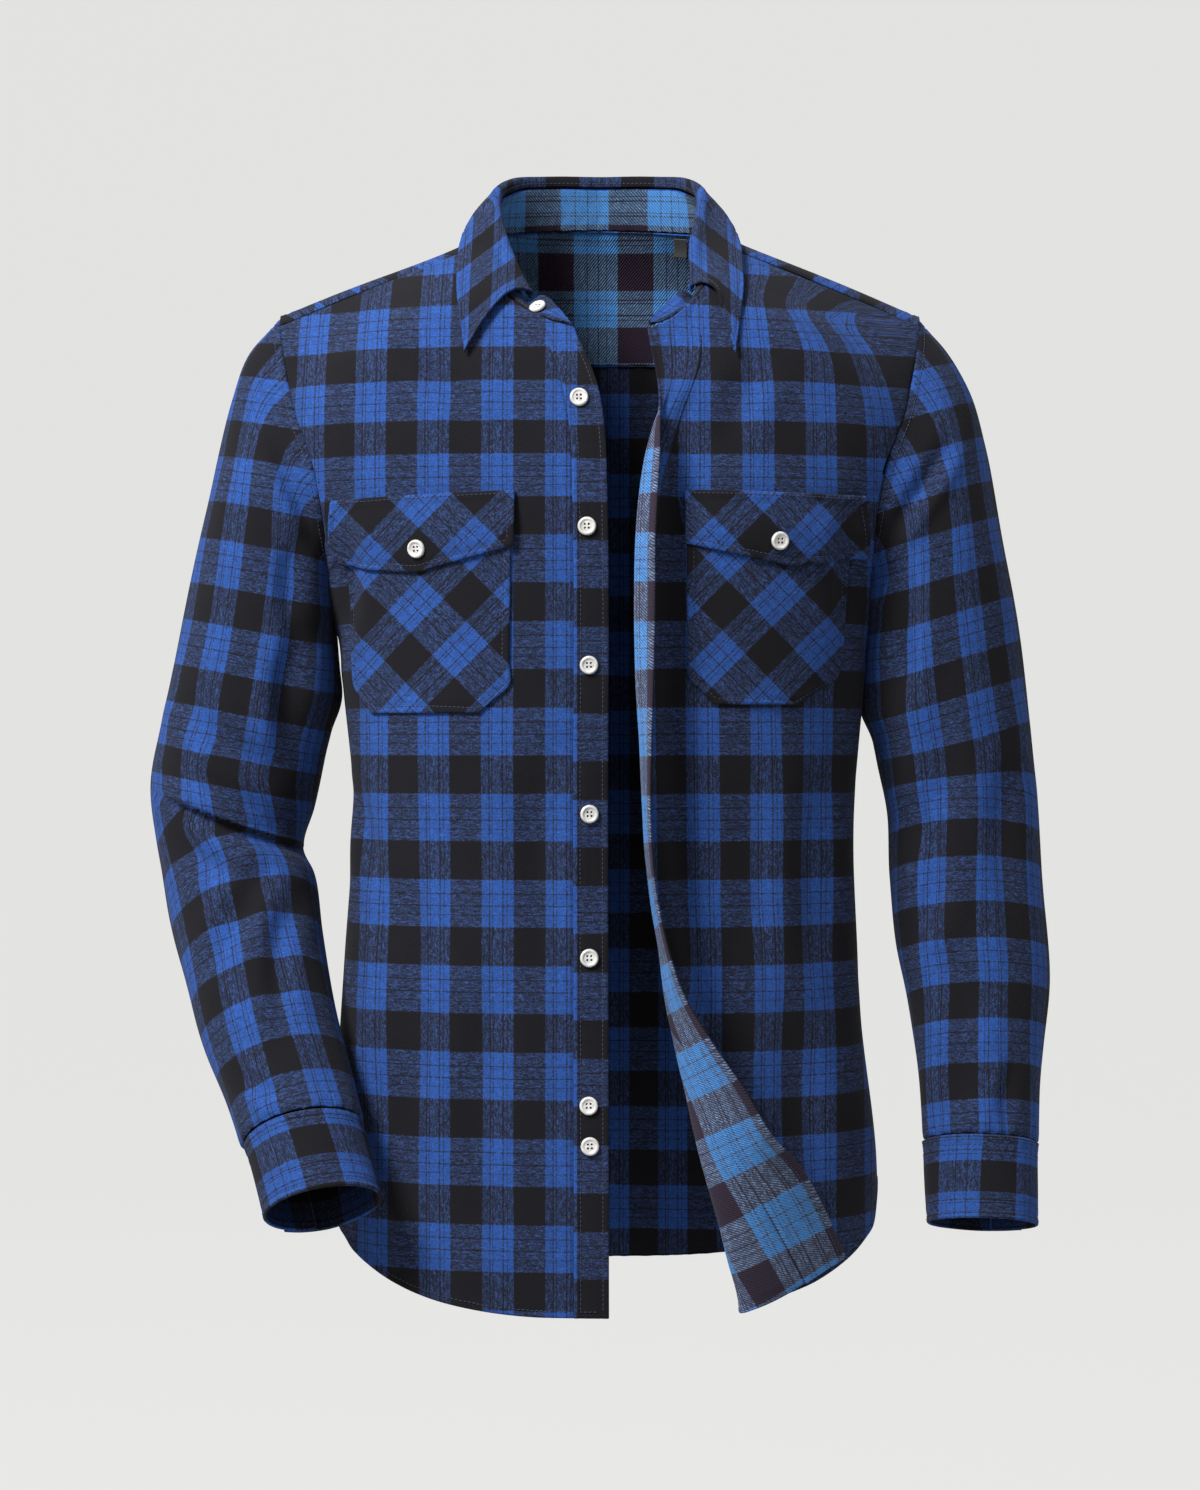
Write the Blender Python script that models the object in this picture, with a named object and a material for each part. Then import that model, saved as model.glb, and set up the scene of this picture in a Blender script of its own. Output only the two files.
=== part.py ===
"""Men's flannel shirt, filled out as if worn, with its front open.

Metres. +X runs to the wearer's left, the front faces -Y and +Z is up. The origin is the middle of
the neck base, level with the high points of the shoulders. Every piece of cloth is a wall: a grid of
outer points worked out from the tables below, thickened inwards, and parted from its neighbours by
one seam gap. Where two pieces meet at a seam they share points, so their rims stay parallel.
"""
import math

import bpy
import numpy as np

# ---------------------------------------------------------------- driving sizes
CLOTH = 0.0013          # body cloth
TWO_PLY = 0.0020        # bands, cuffs, collar
SEAM = 0.0003           # clear gap between pieces
LIFT = 0.0006           # gap under a piece that lies on a panel
BAND_W = 0.0235         # button band
PLACKET_W = 0.031       # buttonhole placket
CUFF_LAP = 0.022        # how far a cuff's ends overlap
BUTTON_R, BUTTON_T = 0.0062, 0.0026
LEAF_ROLL = 0.0042      # radius of the collar's fold

ROWS_BODY, ROWS_ARM = 15, 9         # rows of a front or back: hem to armpit, armpit to yoke
COLS_FRONT, COLS_BACK = 12, 24      # columns of a front and of the back
COLS_FOLD, COLS_SIDE = 17, 7        # left front: columns round the fold, then on to the side
COLS_STRIP = 9                      # columns of the buttonhole placket
TOP_ARM, BACK_ARM = 6, 8            # points of an armhole over the shoulder, and up the back
ROWS_YOKE, ROWS_STAND, COLS_COLLAR = 6, 3, 40


def table(names, *rows):
    """A table with named columns; the first column is the one it is read by."""
    names, rows = names.split(), np.array(rows, float)
    return {name: rows[:, i] for i, name in enumerate(names)} | {"key": rows[:, 0]}


def smooth(knots, values, at):
    """A smooth curve through values at uneven knots, read at any places."""
    knots, values = np.asarray(knots, float), np.asarray(values, float)
    at = np.clip(np.asarray(at, float), knots.min(), knots.max())
    slope = np.gradient(values, knots, axis=0)
    i = np.clip(np.searchsorted(knots, at, side="right") - 1, 0, len(knots) - 2)
    h = knots[i + 1] - knots[i]
    u = (at - knots[i]) / h
    if values.ndim > 1:
        h, u = h[..., None], u[..., None]
    return (
        values[i] * (1 + 2 * u) * (1 - u) ** 2
        + values[i + 1] * u * u * (3 - 2 * u)
        + h * (slope[i] * u * (1 - u) ** 2 - slope[i + 1] * u * u * (1 - u))
    )


def read(tab, name, at):
    return smooth(tab["key"], tab[name], at)


def along(points, places):
    """Points at given fractions of the way along a polyline."""
    points = np.asarray(points, float)
    run = np.concatenate([[0], np.cumsum(np.linalg.norm(np.diff(points, axis=0), axis=1))])
    return np.stack([np.interp(np.asarray(places) * run[-1], run, points[:, k]) for k in range(3)], -1)


def ease(x, low, high):
    """0 below low, 1 above high, smooth between."""
    u = np.clip((np.asarray(x, float) - low) / (high - low), 0, 1)
    return u * u * (3 - 2 * u)


# ---------------------------------------------------------------- armhole, the same on both sides
# x is the distance from the middle, from the shoulder tip down the front to the armpit and up the back
ARMHOLE = np.array([
    (0.2233, 0.000, -0.0550),
    (0.2225, -0.020, -0.0620),
    (0.2145, -0.046, -0.1030),
    (0.2075, -0.060, -0.1290),
    (0.1975, -0.069, -0.1550),
    (0.1905, -0.067, -0.1870),
    (0.1880, -0.053, -0.2140),
    (0.1885, -0.029, -0.2350),
    (0.1900, 0.004, -0.2430),
    (0.1900, 0.030, -0.2380),
    (0.1905, 0.052, -0.2220),
    (0.1925, 0.066, -0.1970),
    (0.1955, 0.071, -0.1700),
    (0.2000, 0.070, -0.1430),
    (0.2055, 0.064, -0.1180),
    (0.2100, 0.056, -0.0960),
    (0.2165, 0.040, -0.0750),
    (0.2215, 0.020, -0.0610),
    (0.2233, 0.000, -0.0550),
])
YOKE_FRONT, ARMPIT, YOKE_BACK = 1, 8, 15      # its corners, as rows of the list above


def armhole_stretch(first, last, count):
    """count + 1 even places on the armhole between two of its rows (rows past the end wrap round)."""
    rows = np.concatenate([ARMHOLE[:-1]] * 3)
    n = len(ARMHOLE) - 1
    knots = np.concatenate([[0], np.cumsum(np.linalg.norm(np.diff(rows, axis=0), axis=1))])
    fine = smooth(knots, rows, np.linspace(knots[first + n], knots[last + n], 160))
    return along(fine, np.linspace(0, 1, count + 1))


FRONT_EDGE = armhole_stretch(YOKE_FRONT, ARMPIT, 400)
BACK_EDGE = armhole_stretch(ARMPIT, YOKE_BACK, 400)

# ---------------------------------------------------------------- torso
# level sections from below the hem to the armpit: half widths on each side
TORSO = table(
    "z half_right half_left",
    (-0.770, 0.1870, 0.1935),
    (-0.655, 0.1860, 0.1925),
    (-0.630, 0.1850, 0.1910),
    (-0.587, 0.1835, 0.1865),
    (-0.558, 0.1820, 0.1834),
    (-0.500, 0.1790, 0.1790),
    (-0.460, 0.1765, 0.1775),
    (-0.430, 0.1748, 0.1775),
    (-0.390, 0.1745, 0.1790),
    (-0.360, 0.1765, 0.1805),
    (-0.320, 0.1795, 0.1830),
    (-0.285, 0.1825, 0.1858),
    (-0.258, 0.1870, 0.1885),
    (-0.243, 0.1900, 0.1900),
)
# depth of each section in the middle
DEPTH = table(
    "z front back",
    (-0.770, -0.117, 0.1140),
    (-0.655, -0.120, 0.1150),
    (-0.560, -0.120, 0.1110),
    (-0.430, -0.117, 0.1010),
    (-0.330, -0.122, 0.1070),
    (-0.243, -0.127, 0.1170),
    (-0.200, -0.127, 0.1190),
    (-0.160, -0.1245, 0.1175),
    (-0.120, -0.1185, 0.1110),
    (-0.098, -0.1135, 0.1045),
    (-0.078, -0.1055, 0.0980),
    (-0.062, -0.0960, 0.0920),
    (-0.045, -0.0830, 0.0860),
    (-0.028, -0.0660, 0.0800),
    (-0.008, -0.0400, 0.0740),
)
SIDE_Y = 0.004                                # y of the side seams
POWER = 2.4                                   # squareness of the sections
SEAM_NECK = np.array([0.0885, -0.0260, -0.0080])      # where the yoke's front seam meets the neck
SEAM_ARM = ARMHOLE[YOKE_FRONT]

# height of the hem against the share of the half width: front and back
HEM = table(
    "share front back",
    (0.00, -0.7370, -0.7270),
    (0.25, -0.7365, -0.7262),
    (0.44, -0.7330, -0.7235),
    (0.625, -0.7255, -0.7175),
    (0.755, -0.7160, -0.7090),
    (0.86, -0.7040, -0.6980),
    (0.943, -0.6900, -0.6850),
    (0.985, -0.6750, -0.6720),
    (1.00, -0.6560, -0.6560),
)


def edge_of(side, z, front=True):
    """Outer end of the level section at z: side seam, then armhole, then the yoke's front seam."""
    z = np.asarray(z, float)
    low = -0.243
    half = read(TORSO, "half_left" if side > 0 else "half_right", np.minimum(z, low))
    arm = FRONT_EDGE[::-1] if front else BACK_EDGE
    x = np.where(z <= low, half, np.interp(z, arm[:, 2], arm[:, 0]))
    y = np.where(z <= low, SIDE_Y, np.interp(z, arm[:, 2], arm[:, 1]))
    if front:
        up = np.clip((z - SEAM_ARM[2]) / (SEAM_NECK[2] - SEAM_ARM[2]), 0, 1)
        x = np.where(z > SEAM_ARM[2], SEAM_ARM[0] + up * (SEAM_NECK[0] - SEAM_ARM[0]), x)
        y = np.where(z > SEAM_ARM[2], SEAM_ARM[1] + up * (SEAM_NECK[1] - SEAM_ARM[1]), y)
    return x, y


def section(side, z, front=True):
    """The level section at z: where it ends, its middle depth, and its own full half width.

    Each section is a squared quarter ellipse that runs on past the armhole, if it were uncut, to
    the side at side_y. Its half width is whatever takes it through the armhole's edge.
    """
    end_x, end_y = edge_of(side, z, front)
    mid = read(DEPTH, "front" if front else "back", z) - SIDE_Y
    rise = np.clip((end_y - SIDE_Y) / mid, 0, 0.93)
    return end_x, mid, end_x / (1 - rise ** POWER) ** (1 / POWER)


def torso(side, x, z, front=True):
    """The y of the front or back at distance x from the middle and height z."""
    _end, mid, half = section(side, z, front)
    return SIDE_Y + mid * (1 - np.clip(np.abs(x) / half, 0, 1) ** POWER) ** (1 / POWER)


def spread_x(side, z, fraction, first, front=True):
    """Distances from the middle, evenly spaced round the section from the distance first outwards."""
    end_x, _mid, half = section(side, z, front)
    a = np.arcsin(np.clip(first / half, 0, 1) ** (POWER / 2))
    b = np.arcsin(np.clip(end_x / half, 0, 1) ** (POWER / 2))
    return half * np.sin(a + (b - a) * fraction) ** (2 / POWER)


# ---------------------------------------------------------------- neck
# the neck seam in front, from the end of the front to the yoke: distance from the middle, height
NECK_RIGHT = table("x z", (0.0175, -0.0725), (0.0356, -0.0672), (0.0500, -0.0590), (0.0640, -0.0475),
                   (0.0760, -0.0330), (0.0845, -0.0195), (0.0885, -0.0080))
NECK_LEFT = table("x z", (0.0330, -0.0735), (0.0460, -0.0675), (0.0580, -0.0580), (0.0690, -0.0455),
                  (0.0785, -0.0315), (0.0853, -0.0190), (0.0885, -0.0080))
# the neck seam behind, from the yoke's front seam to the middle of the back
NECK_BACK = table(
    "run x y z",
    (0.00, 0.0885, -0.0260, -0.0080),
    (0.16, 0.0872, -0.0020, 0.0010),
    (0.34, 0.0810, 0.0230, 0.0070),
    (0.56, 0.0640, 0.0470, 0.0110),
    (0.78, 0.0360, 0.0630, 0.0145),
    (1.00, 0.0000, 0.0690, 0.0160),
)


def neck_front(side, places):
    """Places along the neck seam of one front, from the front's end (0) to the yoke (1)."""
    tab = NECK_LEFT if side > 0 else NECK_RIGHT
    xz = np.stack([tab["x"], tab["z"]], -1)
    knots = np.concatenate([[0], np.cumsum(np.linalg.norm(np.diff(xz, axis=0), axis=1))])
    p = smooth(knots, xz, np.asarray(places) * knots[-1])
    return np.stack([side * p[..., 0], torso(side, p[..., 0], p[..., 1]), p[..., 1]], -1)


def neck_back(side, places):
    """Places along the neck seam of the yoke, from its front seam (0) to the middle of the back (1)."""
    p = smooth(NECK_BACK["run"], np.stack([NECK_BACK[k] for k in "xyz"], -1), places)
    return p * (side, 1, 1)


# ---------------------------------------------------------------- the two front edges
# right front: x of its free edge
RIGHT_EDGE = table("z x", (-0.770, 0.0060), (-0.400, 0.0055), (-0.200, 0.0052), (-0.150, 0.0038),
                   (-0.128, 0.0018), (-0.112, -0.0015), (-0.0935, -0.0068), (-0.081, -0.0125),
                   (-0.0725, -0.0175))
# left front: where its fold lies, where the free edge would lie unfolded, radius of the fold,
# how far it turns (degrees), how far the fold stands off the chest, and the hollow beside it
TURNED = table(
    "z fold free radius turn stand_off hollow",
    (-0.770, 0.1020, 0.0112, 0.0070, 180, 0.000, 0.000),
    (-0.727, 0.0915, 0.0138, 0.0070, 180, 0.000, 0.000),
    (-0.679, 0.0805, 0.0148, 0.0075, 162, 0.001, 0.000),
    (-0.643, 0.0700, 0.0112, 0.0080, 138, 0.002, 0.001),
    (-0.595, 0.0585, 0.0064, 0.0085, 123, 0.003, 0.002),
    (-0.560, 0.0505, 0.0060, 0.0090, 112, 0.004, 0.003),
    (-0.530, 0.0440, 0.0060, 0.0088, 103, 0.005, 0.004),
    (-0.484, 0.0380, 0.0060, 0.0080, 93, 0.006, 0.004),
    (-0.440, 0.0315, 0.0060, 0.0066, 95, 0.006, 0.004),
    (-0.357, 0.0270, 0.0060, 0.0055, 104, 0.006, 0.005),
    (-0.308, 0.0242, 0.0060, 0.0050, 122, 0.006, 0.005),
    (-0.262, 0.0234, 0.0060, 0.0048, 134, 0.006, 0.005),
    (-0.223, 0.0240, 0.0070, 0.0046, 132, 0.006, 0.005),
    (-0.187, 0.0268, 0.0110, 0.0042, 132, 0.005, 0.005),
    (-0.155, 0.0320, 0.0185, 0.0038, 124, 0.004, 0.004),
    (-0.125, 0.0380, 0.0275, 0.0034, 121, 0.003, 0.002),
    (-0.110, 0.0412, 0.0330, 0.0030, 110, 0.001, 0.001),
    (-0.095, 0.0400, 0.0370, 0.0030, 50, 0.000, 0.000),
    (-0.0735, 0.0335, 0.0325, 0.0030, 12, 0.000, 0.000),
)
HOLLOW_W = 0.020        # the hollow beside the fold runs to 2.4 times this


def beside_fold(x, z):
    """How far the left front stands off the chest beside its fold: a small crest, then a hollow."""
    near = np.maximum(x - read(TURNED, "fold", z) - read(TURNED, "radius", z), 0) / HOLLOW_W
    return read(TURNED, "stand_off", z) * (1 - ease(near, 0, 1)) - read(TURNED, "hollow", z) * (
        ease(near, 0, 0.9) * (1 - ease(near, 0.9, 2.4)))


def left_front(w, z):
    """The left front's edge at w along the cloth from its free edge: x, z and stand-off from the chest.

    Behind the fold the cloth lies near the chest. It rolls round the fold, then runs back over itself,
    and because the fold leans, the turned part also rises.
    """
    col = {k: read(TURNED, k, z) for k in ("fold", "free", "radius", "turn", "stand_off", "hollow")}
    r, turn = col["radius"], np.radians(np.clip(col["turn"], 0, 180))
    lean = np.arctan((read(TURNED, "fold", z - 0.01) - read(TURNED, "fold", z + 0.01)) / 0.02)
    lean = np.clip(lean, 0, 0.5)
    past = col["fold"] - col["free"] - w                 # level distance past the fold, - is behind it
    q = past * np.cos(lean) + math.pi / 2 * r            # distance from the start of the roll
    angle = np.clip(q / r, 0, turn)
    more = np.maximum(q - r * turn, 0)
    before = np.maximum(-q, 0)
    across = r * (1 - np.sin(angle)) - np.cos(turn) * more + before
    up = np.where(q > 0, np.maximum(past, 0) * np.sin(lean), 0)
    droop = r * 1.15 * ease(more, 0.004, 0.060)
    off = col["stand_off"] + r * (1 - np.cos(angle)) + np.sin(turn) * more - droop
    m_x, m_z, e_x, e_z = np.cos(lean), np.sin(lean), -np.sin(lean), np.cos(lean)
    x = col["fold"] + np.where(q > 0, across * m_x + up * e_x, across)
    rise = np.where(q > 0, across * m_z + up * e_z, 0) - r * m_z * (q > 0) * (1 - ease(q, 0, 2 * r))
    return x, z + rise, np.where(q > 0, off, beside_fold(x, z))


# ---------------------------------------------------------------- sleeves
# one ring a row after the armhole: outer and inner end of the ring, y of its middle, half depth
SLEEVE_RIGHT = table(
    "row out_x out_z in_x in_z y depth",
    (0, 0.2233, -0.0550, 0.1900, -0.2430, 0.000, 0.0700),
    (1, 0.2460, -0.0790, 0.1912, -0.2545, 0.000, 0.0690),
    (2, 0.2575, -0.1100, 0.1915, -0.2680, 0.000, 0.0680),
    (3, 0.2670, -0.1460, 0.1898, -0.2830, 0.000, 0.0670),
    (4, 0.2755, -0.1850, 0.1875, -0.2985, 0.000, 0.0660),
    (5, 0.2860, -0.2370, 0.1850, -0.3150, 0.000, 0.0640),
    (6, 0.2970, -0.2900, 0.1850, -0.3350, 0.001, 0.0620),
    (7, 0.3060, -0.3400, 0.1925, -0.3620, 0.003, 0.0600),
    (8, 0.3130, -0.3850, 0.2015, -0.3980, 0.005, 0.0580),
    (9, 0.3105, -0.4180, 0.2085, -0.4230, 0.004, 0.0555),
    (10, 0.3045, -0.4500, 0.1990, -0.4450, -0.004, 0.0550),
    (11, 0.2955, -0.4850, 0.1930, -0.4800, -0.021, 0.0525),
    (12, 0.2830, -0.5250, 0.1840, -0.5150, -0.043, 0.0490),
    (13, 0.2680, -0.5650, 0.1755, -0.5530, -0.066, 0.0450),
    (14, 0.2520, -0.5980, 0.1660, -0.5820, -0.087, 0.0410),
    (15, 0.2385, -0.6242, 0.1602, -0.6050, -0.104, 0.0380),
    (16, 0.2305, -0.6470, 0.1525, -0.6290, -0.117, 0.0372),
    (17, 0.2232, -0.6700, 0.1452, -0.6530, -0.130, 0.0368),
)
SLEEVE_LEFT = table(
    "row out_x out_z in_x in_z y depth",
    (0, 0.2233, -0.0550, 0.1900, -0.2430, 0.000, 0.0700),
    (1, 0.2430, -0.0755, 0.1915, -0.2545, 0.000, 0.0690),
    (2, 0.2585, -0.1040, 0.1922, -0.2680, 0.000, 0.0680),
    (3, 0.2685, -0.1440, 0.1912, -0.2830, 0.000, 0.0670),
    (4, 0.2765, -0.1850, 0.1893, -0.2985, 0.000, 0.0660),
    (5, 0.2855, -0.2370, 0.1870, -0.3150, 0.000, 0.0640),
    (6, 0.2935, -0.2890, 0.1872, -0.3350, 0.001, 0.0620),
    (7, 0.3015, -0.3420, 0.1930, -0.3650, 0.003, 0.0600),
    (8, 0.3068, -0.3920, 0.2020, -0.4030, 0.004, 0.0580),
    (9, 0.3107, -0.4400, 0.2038, -0.4450, 0.003, 0.0560),
    (10, 0.3137, -0.4900, 0.2079, -0.4900, -0.001, 0.0535),
    (11, 0.3136, -0.5236, 0.2145, -0.5236, -0.008, 0.0505),
    (12, 0.3100, -0.5620, 0.2180, -0.5600, -0.017, 0.0465),
    (13, 0.3050, -0.5980, 0.2215, -0.5960, -0.026, 0.0415),
    (14, 0.3022, -0.6285, 0.2232, -0.6258, -0.034, 0.0385),
    (15, 0.3016, -0.6560, 0.2234, -0.6535, -0.041, 0.0375),
    (16, 0.3008, -0.6840, 0.2250, -0.6815, -0.048, 0.0370),
)
CUFF_ROWS = 2                                  # the last rows of each table are the cuff
FADE = 4.5                                     # rows over which the armhole's own shape fades out


def arm_loop():
    """The armhole as the sleeve's first ring: over the shoulder, down the front, up the back."""
    n = len(ARMHOLE) - 1
    over = armhole_stretch(YOKE_BACK - n, YOKE_FRONT, TOP_ARM)
    down = armhole_stretch(YOKE_FRONT, ARMPIT, ROWS_ARM)
    up = armhole_stretch(ARMPIT, YOKE_BACK, BACK_ARM)
    return np.concatenate([over[:-1], down[:-1], up[:-1]])


def ring(tab, row, angle):
    """An elliptic ring of the sleeve at a table row: angle 0 is its outer end, a quarter turn its front."""
    at = {k: read(tab, k, row) for k in ("out_x", "out_z", "in_x", "in_z", "y", "depth")}
    def middle(r):
        return np.stack([
            (read(tab, "out_x", r) + read(tab, "in_x", r)) / 2,
            read(tab, "y", r),
            (read(tab, "out_z", r) + read(tab, "in_z", r)) / 2], -1)
    half = np.stack([(at["out_x"] - at["in_x"]) / 2, 0 * at["y"], (at["out_z"] - at["in_z"]) / 2], -1)
    last = tab["key"][-1]
    path = middle(np.minimum(row + 0.5, last)) - middle(np.maximum(row - 0.5, 0))
    front = np.cross(half, path)
    front /= np.linalg.norm(front, axis=-1, keepdims=True)
    front = np.where(front[..., 1:2] > 0, -front, front)
    early = np.clip(row / 3.0, 0, 1)[..., None]
    front = front * early + np.array([0.0, -1.0, 0.0]) * (1 - early)
    front /= np.linalg.norm(front, axis=-1, keepdims=True)
    return middle(row) + half * np.cos(angle)[..., None] + front * (at["depth"] * np.sin(angle))[..., None]


def loop_angles(tab, loop):
    """The ring angle that belongs to each point of the armhole."""
    ends = np.array([[tab["out_x"][0], 0, tab["out_z"][0]], [tab["in_x"][0], 0, tab["in_z"][0]]])
    mid, half = ends.mean(0), (ends[0] - ends[1]) / 2
    along_half = (loop - mid) @ half / (half @ half)
    across = -(loop[:, 1] - tab["y"][0]) / tab["depth"][0]
    angle = np.unwrap(np.arctan2(across, along_half))
    return angle - 2 * math.pi * round(angle[TOP_ARM // 2] / (2 * math.pi))


def sleeve_points(tab, side, rows):
    """Rings of a sleeve at the given table rows, on the wearer's left (side 1) or right (-1)."""
    loop = arm_loop()
    start = loop_angles(tab, loop)
    even = start[0] + np.arange(len(loop)) / len(loop) * 2 * math.pi * np.sign(start[-1] - start[0])
    rows = np.asarray(rows, float)[:, None] + 0 * start[None]
    mix = ease(rows, 1, 8)
    angle = start * (1 - mix) + even * mix
    own = loop - ring(tab, 0 * start, start)
    keep = (1 - np.clip(rows / FADE, 0, 1)) ** 2
    return (ring(tab, rows, angle) + own * keep[..., None]) * (side, 1, 1)


# ---------------------------------------------------------------- yoke
def yoke_loops():
    """Inner and outer edge of the yoke, from the wearer's right front seam round to the left one."""
    n = len(ARMHOLE) - 1
    over = armhole_stretch(YOKE_BACK - n, YOKE_FRONT, TOP_ARM)[::-1]      # front corner to back corner
    outer = [over[:-1] * (-1, 1, 1)]
    outer.append(back_seam())
    outer.append(over[::-1][1:])
    outer = np.concatenate(outer)
    shoulder = np.linspace(0, 0.40, TOP_ARM + 1)
    half = COLS_BACK // 2
    behind = np.linspace(0.40, 1, half + 1)
    right = np.concatenate([shoulder[:-1], behind])
    inner = np.concatenate([neck_back(-1, right), neck_back(1, right[::-1][1:])])
    return inner, outer


def back_seam():
    """The seam between yoke and back, from the right armhole to the left one."""
    share = np.linspace(-1, 1, COLS_BACK + 1)
    z = -0.0770 + (ARMHOLE[YOKE_BACK][2] + 0.0770) * np.abs(share) ** 2.2
    return back_points(share, z)


def back_points(fraction, z):
    """Points of the back at level z, evenly spaced from the right end (-1) to the left end (1)."""
    points = []
    for side in (-1, 1):
        x = spread_x(side, z, np.abs(fraction), 0.0, False)
        points.append(np.stack([side * x, torso(side, x, z, False), z], -1))
    return np.where((fraction < 0)[..., None], *points)


def yoke_grid():
    inner, outer = yoke_loops()
    f = np.linspace(0, 1, ROWS_YOKE + 1)[:, None, None]
    grid = inner * (1 - f) + outer * f
    n = inner.shape[0] - 1
    behind = np.sin(np.linspace(0, math.pi, n + 1)) ** 2        # full behind the neck, none in front
    crown = np.stack([0 * behind, 0.0085 * behind, 0.0050 * behind], -1)
    return grid + np.sin(math.pi * f) * crown


# ---------------------------------------------------------------- panels
ARM_UP = armhole_stretch(YOKE_FRONT, ARMPIT, ROWS_ARM)[::-1]       # rows' outer ends above the armpit
CHEST_ROW = (-0.215, -0.243)            # heights of the armpit row in the middle and at the side
BAND_SEAM = 0.270                       # of the right neck seam, where the band's seam meets it
PLACKET_SEAM = 0.47                     # the same for the left placket
RIGHT_STEPS = (-0.215, -0.180, -0.145, -0.110)             # inner ends of rows above the armpit's
LEFT_STEPS = (-0.215, -0.188, -0.160, -0.132, -0.100)


def row_height(share, up):
    """Height of a row below the armpit at a share of the half width; up is 0 at the hem, 1 at the armpit."""
    chest = CHEST_ROW[0] + (CHEST_ROW[1] - CHEST_ROW[0]) * share ** 2
    return read(HEM, "front", share) * (1 - up) + chest * up


def band_seam_x(z):
    """Distance from the middle of the button band's seam."""
    neck = neck_front(-1, BAND_SEAM)
    spread = abs(neck[0]) + read(RIGHT_EDGE, "x", neck[2]) - BAND_W
    return BAND_W - read(RIGHT_EDGE, "x", z) + spread * ease(z, -0.13, neck[2])


def right_front_grids():
    """The right front from the band's seam to the side, and the button band from the seam inwards."""
    neck = neck_front(-1, np.linspace(BAND_SEAM, 1, ROWS_ARM - 3))
    s = np.linspace(0, 1, COLS_FRONT + 1)
    rows = []
    for up in np.linspace(0, 1, ROWS_BODY + 1):
        share = s
        for _ in range(6):
            z = row_height(share, up)
            x = spread_x(-1, z, s, band_seam_x(z))
            share = x / edge_of(-1, z)[0]
        rows.append((x, z))
    for k in range(1, ROWS_ARM + 1):
        low = k < len(RIGHT_STEPS)
        z_in = RIGHT_STEPS[k] if low else neck[k - len(RIGHT_STEPS), 2]
        x_in = band_seam_x(z_in) if low else abs(neck[k - len(RIGHT_STEPS), 0])
        z = z_in + (ARM_UP[k, 2] - z_in) * s ** (2 - k / ROWS_ARM)
        first = x_in / edge_of(-1, z_in)[0] * edge_of(-1, z)[0]
        rows.append((spread_x(-1, z, s, first), z))
    panel = evened(np.array([stand_off(-1, x, z, 0 * z) for x, z in rows]), ROWS_BODY + 3, s)
    last = ROWS_BODY + len(RIGHT_STEPS)
    top = neck_front(-1, np.linspace(BAND_SEAM, 0, 4))
    u = np.linspace(0, 1, 4)
    band = []
    for v in range(last + 1):
        start = panel[v, 0]
        z = start[2] + ease(v, last - 3, last) * (top[:, 2] - top[0, 2])
        x = start[0] * (1 - u) + read(RIGHT_EDGE, "x", z) * u
        if v == last:
            x, z = top[:, 0], top[:, 2]
        band.append(np.stack([x, torso(-1, np.abs(x), z), z], -1))
    return panel, np.array(band)


def left_front_grids():
    """The left front from the placket's seam to the side, and the placket from its free edge to the seam."""
    neck = neck_front(1, np.linspace(PLACKET_SEAM, 1, ROWS_ARM - 4))
    w_panel = np.linspace(PLACKET_W, 0.118, COLS_FOLD + 1)      # columns measured along the cloth
    w_strip = np.linspace(0, PLACKET_W, COLS_STRIP + 1)
    s = np.linspace(0, 1, COLS_SIDE + 1)[1:]
    rows, strips = [], []
    for up in np.linspace(0, 1, ROWS_BODY + 1):
        flat = row_height(np.clip((w_panel + 0.008) / 0.19, 0, 1), up)
        x, z, off = left_front(w_panel, flat)
        share = 0.6 + 0.4 * s
        for _ in range(6):
            side_z = row_height(share, up)
            side_x = spread_x(1, side_z, s, x[-1])
            share = side_x / edge_of(1, side_z)[0]
        rows.append((np.append(x, side_x), np.append(z, side_z), np.append(off, beside_fold(side_x, side_z))))
        strips.append(left_front(w_strip, row_height(np.clip((w_strip + 0.008) / 0.19, 0, 1), up)))
    where = np.append(np.linspace(0, 0.46, COLS_FOLD + 1), 0.46 + 0.54 * s)
    top = neck_front(1, np.linspace(0, PLACKET_SEAM, COLS_STRIP + 1))
    line = np.linspace(0, 1, COLS_STRIP + 1)
    for k in range(1, ROWS_ARM + 1):
        low = k < len(LEFT_STEPS)
        z_in = LEFT_STEPS[k] if low else neck[k - len(LEFT_STEPS), 2]
        x_in = left_front(PLACKET_W, z_in)[0] if low else neck[k - len(LEFT_STEPS), 0]
        z = z_in + (ARM_UP[k, 2] - z_in) * where ** (2 - k / ROWS_ARM)
        x = spread_x(1, z, where, x_in / edge_of(1, z_in)[0] * edge_of(1, z)[0])
        rows.append((x, z, beside_fold(x, z) * (1 - ease(z, -0.13, -0.09))))
        if k <= len(LEFT_STEPS):
            flat = z_in + ease(k, 1, len(LEFT_STEPS)) * (top[:, 2] - top[-1, 2])
            x, z, off = left_front(w_strip, flat)
            plain = ease(k, 2, len(LEFT_STEPS))
            ends = top[:, 0]
            if k < len(LEFT_STEPS):
                ends = read(TURNED, "fold", flat[0]) * (1 - line) + x_in * line
            strips.append((x * (1 - plain) + ends * plain, z, off * (1 - plain)))
    panel = evened(np.array([stand_off(1, *row) for row in rows]), ROWS_BODY + 3, where)
    strip = np.array([stand_off(1, *row) for row in strips])
    strip[:, -1] = panel[: len(strip), 0]
    return panel, strip


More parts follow.
